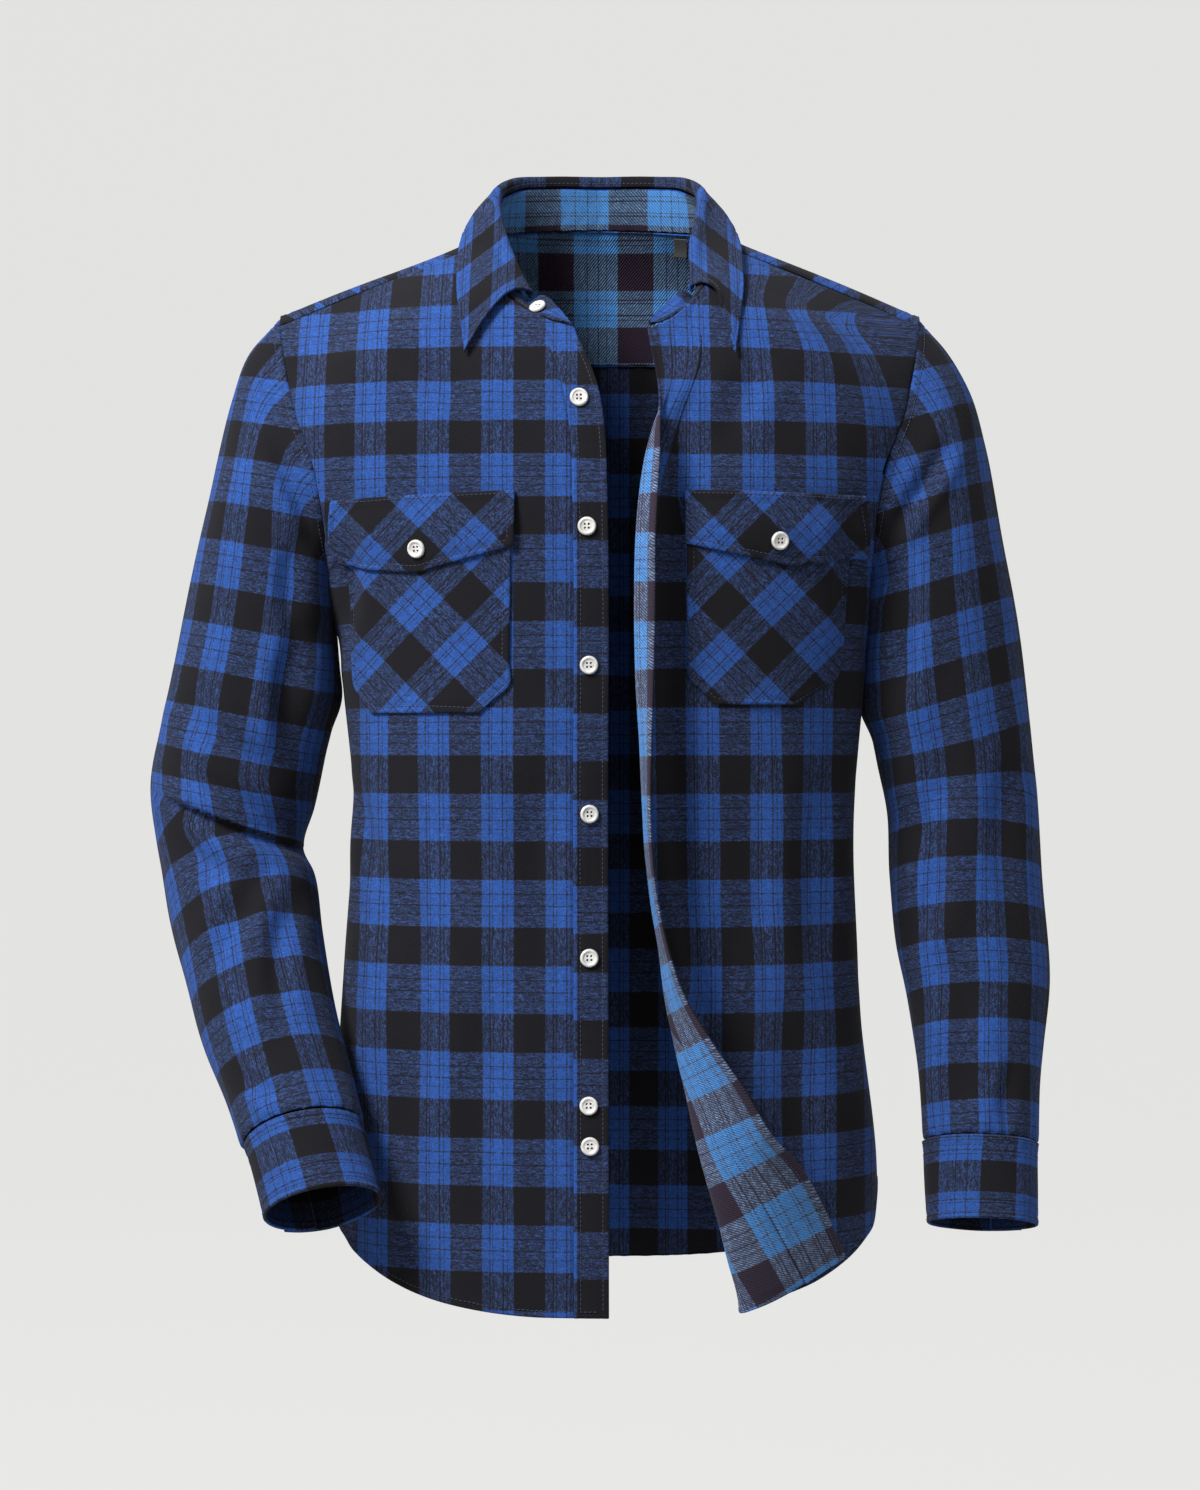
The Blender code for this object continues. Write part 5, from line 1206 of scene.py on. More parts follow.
def check_group():
    """Colour and height of the checked flannel at a place in the cut cloth.

    Blue and dark stripes run both ways. Where two blues cross the cloth is bright, where two darks
    cross it is dark, and elsewhere the yarns mix: flecks drawn out along the blue yarn. Thin dark
    lines cross the blue, the edges of all are ragged by the nap, and twill lines run aslant.
    """
    tree = bpy.data.node_groups.new("checked_flannel", "ShaderNodeTree")
    face = tree.interface
    face.new_socket("Cut", in_out="INPUT", socket_type="NodeSocketVector")
    for name in ("Dark", "Mixed", "Blue"):
        face.new_socket(name, in_out="INPUT", socket_type="NodeSocketColor")
    for name in ("Fleck", "Twill", "Ragged"):
        face.new_socket(name, in_out="INPUT", socket_type="NodeSocketFloat")
    face.new_socket("Color", in_out="OUTPUT", socket_type="NodeSocketColor")
    face.new_socket("Height", in_out="OUTPUT", socket_type="NodeSocketFloat")
    got = put(tree, "NodeGroupInput").outputs
    cut = got["Cut"]
    ragged = noise(tree, cut, 520.0, 3.0, 0.6)["Color"]
    wobble = put(tree, "ShaderNodeSeparateColor", {"Color": ragged}).outputs
    plain = put(tree, "ShaderNodeSeparateXYZ", {"Vector": cut}).outputs
    across, run = (
        calc(tree, "MULTIPLY_ADD", calc(tree, "SUBTRACT", wobble[k], 0.5), got["Ragged"], plain[k])
        for k in (0, 1))

    def yarns(place, repeat, blue, lines):
        body = stripe(tree, place, repeat, *blue, 0.007)
        for middle, half in lines:
            line = stripe(tree, place, repeat, middle, half, 0.006)
            body = calc(tree, "MULTIPLY", body, calc(tree, "MULTIPLY_ADD", line, -0.9, 1.0))
        return body

    warp = yarns(across, WARP, BLUE_WARP, WARP_LINES)
    weft = yarns(run, WEFT, BLUE_WEFT, WEFT_LINES)
    deep = stripe(tree, across, WARP, *DEEP_WARP, 0.010)
    warp = calc(tree, "MULTIPLY", warp, calc(tree, "MULTIPLY_ADD", deep, -0.18, 1.0))
    bodies, swings, grains = [], [], []
    for body, spots in ((warp, YARN_SPOTS), (weft, YARN_SPOTS[::-1])):
        drawn = put(tree, "ShaderNodeMapping", {"Vector": cut, "Scale": (*spots, 1)}).outputs[0]
        grain = noise(tree, drawn, 1.0, 1.5, 0.60, 1.2)["Fac"]
        flecks = calc(tree, "POWER", spread_out(tree, grain, 0.34, 0.68), 1.8)
        swing = calc(tree, "MULTIPLY", calc(tree, "SUBTRACT", flecks, 0.32), got["Fleck"])
        shade = calc(tree, "MAXIMUM", calc(tree, "ADD", swing, 1.0), 0.05)
        bodies.append(calc(tree, "MULTIPLY", body, shade))
        swings.append(swing)
        grains.append(grain)
    slant = calc(tree, "MULTIPLY", calc(tree, "ADD", plain[0], plain[1]), 2 * math.pi / TWILL_PITCH)
    rib = calc(tree, "MULTIPLY", calc(tree, "SINE", slant), got["Twill"])
    one = calc(tree, "MULTIPLY", calc(tree, "MAXIMUM", *bodies), calc(tree, "ADD", rib, 1.0))
    both = calc(tree, "MULTIPLY", warp, weft)
    ribbed = calc(tree, "MULTIPLY_ADD", rib, 0.25, 1.0)
    sway = calc(tree, "MULTIPLY_ADD", calc(tree, "ADD", *swings), 0.16, ribbed)
    low = blend_colours(tree, one, got["Dark"], got["Mixed"], clamp=False)
    high = blend_colours(tree, sway, got["Dark"], got["Blue"], clamp=False)
    colour = blend_colours(tree, both, low, high)
    faded = noise(tree, cut, 38.0, 3.0)["Fac"]
    dusty = noise(tree, cut, 900.0, 2.0, 0.6)["Fac"]
    value = calc(tree, "MULTIPLY", about_one(tree, faded, 0.30), about_one(tree, dusty, 0.5))
    colour = put(tree, "ShaderNodeHueSaturation", {"Color": colour, "Value": value}).outputs[0]
    hairs = spread_out(tree, dusty, 0.52, 0.76)
    hairs = calc(tree, "MULTIPLY", calc(tree, "MULTIPLY", hairs, calc(tree, "MAXIMUM", warp, weft)), 0.35)
    colour = blend_colours(tree, hairs, colour, HAIR_BLUE)
    fuzz = noise(tree, cut, 2600.0, 2.0, 0.7)["Fac"]
    height = calc(tree, "ADD", calc(tree, "ADD", calc(tree, "ADD", *grains), fuzz), rib)
    put(tree, "NodeGroupOutput", {"Color": colour, "Height": height})
    return tree


CHECKS = check_group()


def flannel(name, dark, mixed, blue, fleck, twill, ragged, sheen):
    """Napped cotton in three colours, and how much it flecks, shows its twill and frays its checks."""
    mat, shader = principled(name)
    tree = mat.node_tree
    uv = put(tree, "ShaderNodeUVMap", uv_map="cut").outputs[0]
    check = put(tree, "ShaderNodeGroup", node_tree=CHECKS)
    tree.links.new(uv, check.inputs["Cut"])
    set_sockets(check, Dark=(*dark, 1), Mixed=(*mixed, 1), Blue=(*blue, 1), Fleck=fleck, Twill=twill,
                Ragged=ragged)
    bump = put(tree, "ShaderNodeBump", {
        "Height": check.outputs["Height"], "Strength": 0.5, "Distance": 0.0005})
    tree.links.new(check.outputs["Color"], shader.inputs["Base Color"])
    tree.links.new(bump.outputs[0], shader.inputs["Normal"])
    set_sockets(shader, Roughness=0.95, Specular_IOR_Level=0.09, Sheen_Weight=sheen,
                Sheen_Roughness=0.55, Sheen_Tint=(0.75, 0.82, 1.0, 1))
    return mat


FACE = flannel(
    "flannel_face", (0.0056, 0.0054, 0.0070), (0.0105, 0.0180, 0.0490), (0.0125, 0.046, 0.185),
    2.4, 0.08, 0.0013, 0.02)
WRONG_SIDE = flannel(
    "flannel_wrong_side", (0.0130, 0.0070, 0.0140), (0.040, 0.074, 0.130), (0.040, 0.150, 0.370),
    0.9, 0.85, 0.0008, 0.04)
TURNED_SIDE = flannel(
    "flannel_turned_side", (0.0200, 0.0140, 0.0240), (0.054, 0.073, 0.124), (0.040, 0.145, 0.360),
    1.7, 0.85, 0.0008, 0.04)
# the face's flannel much darker: painted shade for the inside of the cuffs, which lies in shadow
SHADED_INSIDE = flannel(
    "flannel_painted_shade_side", (0.0020, 0.0020, 0.0026), (0.0030, 0.0050, 0.0120), (0.0040, 0.0120, 0.0480),
    2.4, 0.08, 0.0013, 0.0)

# ---- cloth pieces
BAND_STEP, BAND_PROUD = 0.0016, 0.0004  # the bands' mesh size across, and how proud they lie
YOKE_LAP = 0.12  # rows by which the yoke laps over the back
YOKE_SCALE, YOKE_START = 0.827, (-0.0117, 0.0320)  # its checks behind: scale, and a z and its place
right_panel, right_band, right_cut, band_cut = right_front_grids()
left_panel, left_strip, left_cut, strip_cut = left_front_grids()

# creases: ends and middle as x and z, width, depth, lean, and front (-1) or back (1)
CREASES = table(
    "xa za xb zb xc zc wide deep lean side",
    # right sleeve: from the armpit down the inner side, and across the forearm
    (-0.2230, -0.1500, -0.2080, -0.1800, -0.1930, -0.2100, 0.0060, 0.0030, 0.5, -1),
    (-0.2080, -0.2150, -0.2130, -0.2500, -0.2070, -0.2850, 0.0070, 0.0024, -0.3, -1),
    (-0.2060, -0.2800, -0.2150, -0.3200, -0.2080, -0.3600, 0.0085, 0.0034, 0.3, -1),
    (-0.2850, -0.3150, -0.2600, -0.3500, -0.2300, -0.3700, 0.0100, 0.0026, 0.3, -1),
    (-0.2980, -0.4100, -0.2700, -0.4350, -0.2350, -0.4450, 0.0080, 0.0024, -0.3, -1),
    (-0.2250, -0.4350, -0.2450, -0.4650, -0.2620, -0.5050, 0.0090, 0.0022, 0.2, -1),
    (-0.2100, -0.4600, -0.2180, -0.5000, -0.2100, -0.5500, 0.0080, 0.0024, 0.3, -1),
    (-0.2480, -0.5650, -0.2300, -0.5800, -0.2080, -0.5850, 0.0060, 0.0018, 0.2, -1),
    # left sleeve
    (0.2400, -0.1450, 0.2180, -0.1800, 0.1960, -0.2120, 0.0065, 0.0030, -0.5, -1),
    (0.2050, -0.2250, 0.2120, -0.2700, 0.2060, -0.3200, 0.0080, 0.0028, 0.3, -1),
    (0.2220, -0.3000, 0.2350, -0.3500, 0.2300, -0.4100, 0.0110, 0.0022, 0.3, -1),
    (0.2150, -0.4000, 0.2300, -0.4400, 0.2200, -0.4900, 0.0090, 0.0026, -0.3, -1),
    (0.2900, -0.3600, 0.2780, -0.4100, 0.2850, -0.4700, 0.0110, 0.0020, 0.2, -1),
    (0.2400, -0.5000, 0.2500, -0.5500, 0.2420, -0.6100, 0.0090, 0.0022, 0.3, -1),
    (0.2850, -0.5700, 0.2780, -0.5950, 0.2820, -0.6200, 0.0060, 0.0016, 0.2, -1),
    # right front
    (-0.1650, -0.3850, -0.1600, -0.4150, -0.1540, -0.4500, 0.0075, 0.0022, 0.3, -1),
    (-0.1750, -0.2050, -0.1700, -0.2450, -0.1790, -0.2900, 0.0080, 0.0024, 0.3, -1),
    (-0.1250, -0.0950, -0.1000, -0.1150, -0.0820, -0.1500, 0.0110, 0.0018, 0.3, -1),
    (-0.0350, -0.3600, -0.0420, -0.4300, -0.0360, -0.5100, 0.0130, 0.0020, -0.2, -1),
    (-0.1300, -0.4600, -0.1220, -0.5300, -0.1330, -0.6100, 0.0150, 0.0020, 0.2, -1),
    (-0.0750, -0.5200, -0.0820, -0.5900, -0.0740, -0.6700, 0.0140, 0.0018, -0.2, -1),
    # left front
    (0.1700, -0.1950, 0.1660, -0.2400, 0.1740, -0.2900, 0.0085, 0.0024, -0.3, -1),
    (0.1100, -0.0950, 0.0950, -0.1200, 0.0820, -0.1600, 0.0110, 0.0018, -0.3, -1),
    (0.1500, -0.3700, 0.1430, -0.4400, 0.1520, -0.5200, 0.0130, 0.0022, -0.3, -1),
    (0.0950, -0.3600, 0.1020, -0.4300, 0.0960, -0.5000, 0.0140, 0.0018, 0.2, -1),
    (0.1280, -0.5400, 0.1350, -0.6000, 0.1300, -0.6700, 0.0140, 0.0018, -0.2, -1),
    # back and the backs of the sleeves
    (-0.1700, -0.1800, -0.1450, -0.2300, -0.1500, -0.3000, 0.0120, 0.0024, 0.3, 1),
    (0.1720, -0.1700, 0.1500, -0.2300, 0.1560, -0.2900, 0.0120, 0.0024, -0.3, 1),
    (-0.0900, -0.3300, -0.0800, -0.4200, -0.0930, -0.5100, 0.0160, 0.0022, 0.2, 1),
    (0.0600, -0.3700, 0.0720, -0.4600, 0.0620, -0.5600, 0.0160, 0.0022, -0.2, 1),
    (0.1400, -0.4200, 0.1350, -0.4900, 0.1420, -0.5600, 0.0140, 0.0020, 0.2, 1),
    (-0.2800, -0.3300, -0.2500, -0.3800, -0.2200, -0.4050, 0.0100, 0.0026, 0.3, 1),
    (-0.2250, -0.4700, -0.2350, -0.5200, -0.2250, -0.5650, 0.0090, 0.0022, 0.3, 1),
    (0.2900, -0.3300, 0.2650, -0.3800, 0.2350, -0.4000, 0.0100, 0.0026, -0.3, 1),
    (0.2500, -0.4600, 0.2600, -0.5200, 0.2520, -0.5800, 0.0100, 0.0022, 0.3, 1),
    (-0.2250, -0.1700, -0.2100, -0.2100, -0.2050, -0.2600, 0.0080, 0.0026, 0.3, 1),
    (0.2300, -0.1650, 0.2120, -0.2100, 0.2060, -0.2700, 0.0080, 0.0026, -0.3, 1),
)


def folds(grid, flip=False):
    """The creases on a piece that turns away from the front or back, where its cloth faces them."""
    points = grid[..., :3]
    return creases(points, face_normals(points, False)[..., 1] * (-1 if flip else 1), CREASES)


def chest_shape(points, side):
    """How far a front's cloth moves off its plain form: drape and creases, little at the neck."""
    slow = drape(points, 0.16, 0.0016) * (1 - 0.8 * ease(points[..., 2], -0.16, -0.09))
    if side > 0:
        slow = slow * ease(points[..., 0] - read(TURNED, "fold", points[..., 2]), 0.012, 0.05)
    return slow + creases(points, -np.ones(points.shape[:2]), CREASES)


made, faces_of = {}, {}


# by default a piece's inside takes the face's darker colours, not the lighter wrong side: painted shade
# for insides that lie in shadow
def add_cloth(name, grid, high, thick, inside=FACE, closed=False, flip=False, cut=None):
    """A piece's cloth from its fine grid and how far its face moves off it.

    The grid's last two columns are its places in the cut cloth, where cut doesn't give them. The
    face and its normals are kept, by name, for sewing and buttons.
    """
    hand = -1 if flip else 1
    points = grid[..., :3] + face_normals(grid[..., :3], closed) * hand * high[..., None]
    cut = grid[..., 3:5] if cut is None else cut
    made[name] = cloth(name + "_cloth", points, cut, thick, (FACE, inside), closed, flip)
    faces_of[name] = (points, face_normals(points, closed) * hand)


# fronts
grid = fine(with_cut(right_panel, *right_cut)[:, ::-1])
low, top, outer_edge, seam_edge = reach(grid)
high = chest_shape(grid, -1) + by_rim(SEAM_DIP, outer_edge, top) + by_rim(SEAM_DIP, seam_edge) * 0.8
high += by_rim(HEMMED, low) + pucker(low, grid[..., 0], 0.0006, 0.012, 5)
high += pucker(seam_edge, grid[..., 2], 0.0003, 0.013, 6)
add_cloth("front_right", grid, high, CLOTH)

grid = fine(with_cut(right_band, *band_cut), step_across=BAND_STEP)
low, _top, edge, seam_edge = reach(grid)
high = chest_shape(grid, -1) + BAND_PROUD + by_rim(EDGE, edge) + by_rim(EDGE, seam_edge) * 0.8
high += by_rim(HEMMED, low) + pucker(edge, grid[..., 2], 0.0003, 0.015, 7)
add_cloth("band_right", grid, high, BAND_T)

grid = fine(with_cut(left_panel, *left_cut), step_across=0.002)
low, top, _seam_edge, outer_edge = reach(grid)
high = chest_shape(grid, 1) + by_rim(SEAM_DIP, outer_edge, top)
past_fold = ease(grid[..., 0] - read(TURNED, "fold", grid[..., 2]), 0.0, 0.01)
high -= by_rim(HEMMED, low) * 0.8 * (1 - 2 * past_fold)  # the hem's outside changes at the fold
add_cloth("front_left", grid, high, CLOTH, TURNED_SIDE)

grid = fine(with_cut(left_strip, *strip_cut), step_across=BAND_STEP)
_low, _top, edge, seam_edge = reach(grid)
high = BAND_PROUD - by_rim(EDGE, edge) - by_rim(EDGE, seam_edge) * 0.6
add_cloth("placket_left", grid, high, BAND_T, TURNED_SIDE)

# back
grid = back_grid()[:, ::-1]
grid = fine(with_cut(grid, grid[..., 0], -grid[..., 2] - FIRST_DARK))
low, top, left_edge, right_edge = reach(grid)
high = drape(grid, 0.16, 0.0016) + by_rim(SEAM_DIP, left_edge, right_edge, top)
high += folds(grid) * ease(top, 0.0, 0.02) + by_rim(HEMMED, low)
high += pucker(low, grid[..., 0], 0.0006, 0.012, 8) + pucker(top, grid[..., 0], 0.0005, 0.015, 9)
# the back's inside keeps the face's darker colours: painted shade
add_cloth("back", grid, high, CLOTH)

# yoke: cut across the cloth; behind, it laps over the back
grid = yoke_grid()[:, ::-1]
grid[-1] += (grid[-1] - grid[-2]) * YOKE_LAP * ease(grid[-1, :, 1:2], 0.055, 0.075)
along_cloth = grid[..., 0] - 0.0068 - 0.0060 * ease(grid[..., 1], 0.030, 0.060)
grid = fine(with_cut(grid, 0, along_cloth))
low, top, one_end, other_end = reach(grid)
steps = np.diff(grid[..., :3], axis=0)[::-1]  # up the back, then forward over the shoulder
level = -0.9 * np.linalg.norm(steps, axis=-1)
steps = np.where(grid[-2::-1, :, 1] > 0.050, steps[..., 2] * YOKE_SCALE, level)
start = YOKE_START[1] - YOKE_SCALE * (grid[-1:, :, 2] - YOKE_START[0])
grid[..., 3] = np.concatenate([start, start + np.cumsum(steps, 0)])[::-1]
high = drape(grid, 0.16, 0.0012) + by_rim(LAP, top, low) + by_rim(SEAM_DIP, one_end, other_end)
add_cloth("yoke", grid, high, CLOTH, WRONG_SIDE, flip=True)


# sleeves: the checks lie square to the upper arm above the elbow and square to the forearm below
# it; each direction has a scale and a shift along the cut cloth
ARMS = {
    -1: {"upper": (-0.191, 0.0, -0.982), "lower": (0.262, -0.489, -0.831), "scale": (1.0, 0.969),
         "shift": (-0.1172, 0.0788)},
    1: {"upper": (0.292, 0.0, -0.956), "lower": (0.011, -0.237, -0.972), "scale": (1.035, 1.055),
        "shift": (-0.1348, -0.0842)},
}
# how far round the sleeve, from over the shoulder, the middle of its front dark stripe lies
STRIPES = {-1: table("z turn", (-0.565, 0.402), (-0.458, 0.410), (-0.404, 0.410), (-0.374, 0.377),
                     (-0.320, 0.377), (-0.263, 0.385), (-0.206, 0.393), (-0.147, 0.369)),
           1: table("z turn", (-0.584, 0.455), (-0.531, 0.447), (-0.475, 0.431), (-0.416, 0.415),
                    (-0.360, 0.398), (-0.250, 0.407), (-0.195, 0.398), (-0.142, 0.366))}
FRONT_TURN = 0.40  # about where that stripe lies, to read its height
ELBOW = ((-0.3120, -0.3835), (-0.2080, -0.4245))  # ends of the right elbow's fold, x and z
SWELL, VALLEY = (0.0034, 0.016), (0.0030, 0.009)  # height and width: over the fold, and under it
INWARD_SWELL = 0.0058  # how far the inner side of the upper arm swells


def under_elbow(points):
    """How far points lie under the right elbow's fold, and their share of its length."""
    (x0, z0), (x1, z1) = ELBOW
    share = (points[..., 0] - x0) / (x1 - x0)
    return z0 + (z1 - z0) * share - points[..., 2], share


def below_elbow(points, side):
    """0 above a sleeve's elbow and 1 below: sudden under the right one's front fold, else gradual."""
    if side > 0:
        return ease(-points[..., 2], 0.345, 0.395)
    wide = 0.0030 + 0.090 * ease(points[..., 1], -0.012, 0.040)
    return np.clip(under_elbow(points)[0] / wide + 0.5, 0, 1)


def sleeve_cut(grid, side):
    """A sleeve's places in the cut cloth: round the arm from its front dark stripe, and along it."""
    arm = ARMS[side]
    low = below_elbow(grid, side)
    t = unit(np.array(arm["upper"]) * (1 - low[..., None]) + np.array(arm["lower"]) * low[..., None])
    steps = np.diff(np.concatenate([grid, grid[:, :1]], 1), axis=1)
    level = np.sqrt(np.maximum((steps ** 2).sum(-1) - (steps * t).sum(-1) ** 2, 0))
    around = np.insert(np.cumsum(level, 1), 0, 0, 1)
    count = grid.shape[1]
    front = grid[:, int(FRONT_TURN * count), 2]
    place = straight(STRIPES[side], "turn", front) * count
    middle = np.array([np.interp(p, np.arange(count + 1), row) for p, row in zip(place, around)])
    upper, lower = (grid @ np.array(arm[k]) for k in ("upper", "lower"))
    gathered = 0.010 * ease(upper, 0.395, 0.440) if side < 0 else 0
    run = ((upper * arm["scale"][0] + arm["shift"][0] + gathered) * (1 - low)
           + (lower * arm["scale"][1] + arm["shift"][1]) * low)
    run = np.concatenate([run, run[:, :1]], 1)
    return np.stack([around - middle[:, None] - 0.25 * WARP, run], -1)


def elbow_fold(points, side):
    """The right elbow's fold: the upper arm's cloth swells over it, the forearm's dips under it."""
    if side > 0:
        return 0
    under, share = under_elbow(points)
    front = ease(-points[..., 1], -0.020, 0.030) * ease(share, 0.02, 0.30)
    front = front * (1 - 0.5 * ease(share, 0.7, 1.1))
    swell = SWELL[0] * np.exp(-(under / SWELL[1]) ** 2)
    valley = -VALLEY[0] * np.exp(-(under / VALLEY[1]) ** 2)
    return np.where(under < 0, swell, valley) * front


for side, word in SIDES.items():
    rows = np.arange(len(SLEEVES[side]["key"]) - CUFF_ROWS)
    grid = fine(sleeve_points(SLEEVES[side], side, rows), closed=True)
    cut = sleeve_cut(grid, side)
    low, top = reach(grid, True)[:2]
    run = cut[:, :-1, 0]
    high = drape(grid, 0.13, 0.0018) + by_rim(LAP, low) + by_rim(SEAM_DIP, top)
    high += elbow_fold(grid, side) + folds(grid, side < 0) * ease(low, 0.002, 0.02) * ease(top, 0.0, 0.01)
    inward = np.clip(-face_normals(grid, True)[..., 0], 0, 1)
    z = grid[..., 2] + (0.008 if side > 0 else 0)
    beside_body = ease(z, -0.345, -0.316) * (1 - ease(z, -0.250, -0.200))
    high += INWARD_SWELL * inward ** 1.5 * beside_body
    high += pucker(low, run, 0.0004, 0.011, 3) + pucker(top, run, 0.0008, 0.013, 4)
    # the sleeves' inside takes the face's darker colours: painted shade
    add_cloth("sleeve_" + word, grid, high, CLOTH, FACE, True, side < 0, cut)

# collar
stand = stand_grid()
beneath = [(right_panel[ROWS_BODY + 1:, ::-1], 1), (left_panel[ROWS_BODY + 1:], 1),
           (yoke_grid()[:, ::-1], -1), (stand, -1)]  # what the leaf lies on, and its outer side
beneath = [(finer(grid, 3), sign) for grid, sign in beneath]
leaf = leaf_grid((
    np.concatenate([grid.reshape(-1, 3) for grid, _sign in beneath]),
    np.concatenate([face_normals(grid, False).reshape(-1, 3) * sign for grid, sign in beneath])))
# behind the neck the fold lies a little lower, and the leaf's seam with the stand lower still
for grid, edge in ((stand, -1), (leaf, 0)):
    behind = ease(grid[..., 2:], 0.015, 0.045)
    grid[edge] -= behind[edge] * (0, 0, 0.0022)
    grid -= behind * (0, 0, 0.0020)


def run_across(grid):
    """Distances along each row from its middle, and along each column from its start."""
    lengths = run_of(grid, 1)
    return lengths - lengths[:, [grid.shape[1] // 2]], run_of(grid)


sideways, up = run_across(stand)
across_cloth = (up / up[-1:] * 0.040 - 0.0056) * 0.6
grid = fine(with_cut(stand, across_cloth, sideways * 0.9 - 0.0059), step=0.0020)
low, _top, one_end, other_end = reach(grid)
high = by_rim(EDGE, one_end, other_end) + pucker(low, sideways[0, 0] + one_end, 0.0003, 0.011, 12)
add_cloth("collar_stand", grid, high, TWO_PLY, WRONG_SIDE, flip=True)

sideways, up = run_across(leaf)
grid = fine(with_cut(leaf, up, sideways), step=0.0022, step_across=0.0025)
low, top, one_end, other_end = reach(grid)
# behind the neck the checks follow the leaf's length; in front they lean as its ends do, and are
# measured inwards and down from a mark on the leaf, x and z
LEAF_MARK = (0.0883, -0.0047)
inwards, down, run = LEAF_MARK[0] - np.abs(grid[..., 0]), LEAF_MARK[1] - grid[..., 2], np.abs(grid[..., 4])
ahead = ease(run, 0.095, 0.150)
run = 1.05 * run * (1 - ahead) + (0.1312 + 1.41 * down + 1.27 * inwards) * ahead
grid[..., 3] = (0.0114 + top) * (1 - ahead) + (0.0214 + 1.42 * inwards) * ahead
grid[..., 4] = 0.0418 + np.sign(grid[..., 4]) * run
near_tip = np.minimum(one_end, other_end)
outer = np.minimum(near_tip, top)
high = 0.0026 * np.exp(-near_tip / 0.022) * ease(low, 0.010, 0.030)  # the tips stand up a little
high += by_rim(EDGE, outer) + pucker(outer, low * 1.3 + one_end, 0.00025, 0.010, 13)
add_cloth("collar_leaf", grid, high, TWO_PLY)

# cuffs, cut across the cloth
CUFFS = {side: cuff_grid(tab, side) for side, tab in SLEEVES.items()}
CUFF_CUT = {-1: (0.0095, -0.1058), 1: (0.0035, -0.0884)}  # where its checks start, up and round
for side, word in SIDES.items():
    up, around = run_of(CUFFS[side]), run_of(CUFFS[side], 1)
    grid = with_cut(CUFFS[side], up + CUFF_CUT[side][0], around + CUFF_CUT[side][1])
    grid = fine(grid, step=0.0020, step_across=0.0025)
    low, top, one_end, other_end = reach(grid)
    high = by_rim(LAP, low) + by_rim(EDGE, top, one_end, other_end)
    high += pucker(low, one_end, 0.0004, 0.010, 14) + pucker(top, one_end, 0.00025, 0.009, 15)
    # the cuffs' inside takes the darker copy of the flannel: painted shade
    add_cloth("cuff_" + word, grid, high, TWO_PLY, SHADED_INSIDE, flip=side < 0)

# pockets and flaps, cut aslant: how far each one's checks are shifted, across and up
ASLANT = {"pocket_right": (0.0030, 0.0), "flap_right": (0.0073, 0.0012),
          "pocket_left": (0.0035, -0.0025), "flap_left": (0.0203, -0.0073)}
DIAGONAL = math.sqrt(0.5)
for name, side, coarse in (("pocket_right", -1, pocket_grid(-1, POCKET_RIGHT)),
                           ("flap_right", -1, flap_grid(-1, FLAP_RIGHT)),
                           ("pocket_left", 1, pocket_grid(1, POCKET_LEFT)),
                           ("flap_left", 1, flap_grid(1, FLAP_LEFT))):
    x, z = coarse[..., 0] + ASLANT[name][0], coarse[..., 2] + ASLANT[name][1]
    grid = fine(with_cut(coarse, (x - z) * DIAGONAL - 0.002, 0.004 - (x + z) * DIAGONAL), step=0.0022)
    low, top, one_end, other_end = reach(grid)
    edge = np.minimum(np.minimum(one_end, other_end), low)
    high = chest_shape(grid, side) + by_rim(EDGE, edge) + by_rim(LAP, top) * name.startswith("flap")
    high += pucker(edge, grid[..., 0] + grid[..., 2], 0.00030, 0.009, 16)
    add_cloth(name, grid, high, CLOTH, WRONG_SIDE, flip=side < 0)


# ---- sewing
def inset_line(name, edge, inset, trim=(0.0, 0.0)):
    """Points and normals of a line on a piece's face, a fixed distance in from an edge.

    Along each column (for the first or last row) or row (for the first or last column) the place
    is found where the distance from the edge equals the inset; trim takes lengths off the ends.
    """
    points, normals = faces_of[name]
    if edge in ("left", "right"):
        points, normals = points.swapaxes(0, 1), normals.swapaxes(0, 1)
    if edge in ("top", "right"):
        points, normals = points[::-1], normals[::-1]
    run = run_of(points)
    line = np.array([[read_at(inset, run[:, k], values[:, k]) for k in range(points.shape[1])]
                     for values in (points, normals)])
    far = run_of(line[0])
    keep = (far >= trim[0]) & (far <= far[-1] - trim[1])
    return line[:, keep]


def stitch_row(line, pitch=0.0031, long=0.0023, wide=0.00028):
    """Thread above the cloth: one slender five-sided bead a stitch, dipping in at both ends."""
    points, normals = line
    far = run_of(points)
    count = int((far[-1] - pitch) / pitch)
    if count < 1:
        return np.zeros((0, 3)), np.zeros((0, 4), int)
    middle = (np.arange(count) + 0.5) * pitch
    t = np.array([-0.5, -0.34, 0.34, 0.5])
    at = (middle[:, None] + t * long).ravel()
    p = read_at(at, far, points).reshape(count, 4, 3)
    n = unit(read_at(at, far, normals).reshape(count, 4, 3))
    side = unit(np.cross(p[:, 3:] - p[:, :1], n))
    size = np.array([0.45, 1.0, 1.0, 0.45])[None, :, None, None] * wide
    a = np.arange(5) / 5 * 2 * math.pi
    rise = np.array([-0.6, 0.5, 0.5, -0.6])[None, :, None] * wide
    spokes = side[:, :, None] * np.cos(a)[:, None] + n[:, :, None] * np.sin(a)[:, None]
    ringed = (p + n * rise)[:, :, None] + size * spokes
    start, m, after = np.arange(3)[:, None] * 5, np.arange(5), (np.arange(5) + 1) % 5
    quad = np.stack([start + m, start + after, start + 5 + after, start + 5 + m], -1).reshape(-1, 4)
    caps = np.array([[0, 4, 3, 2], [0, 2, 1, 0], [15, 16, 17, 18], [15, 18, 19, 15]])
    quad = np.concatenate([quad, caps])
    faces = (quad[None] + np.arange(count)[:, None, None] * 20).reshape(-1, 4)
    return ringed.reshape(-1, 3), faces


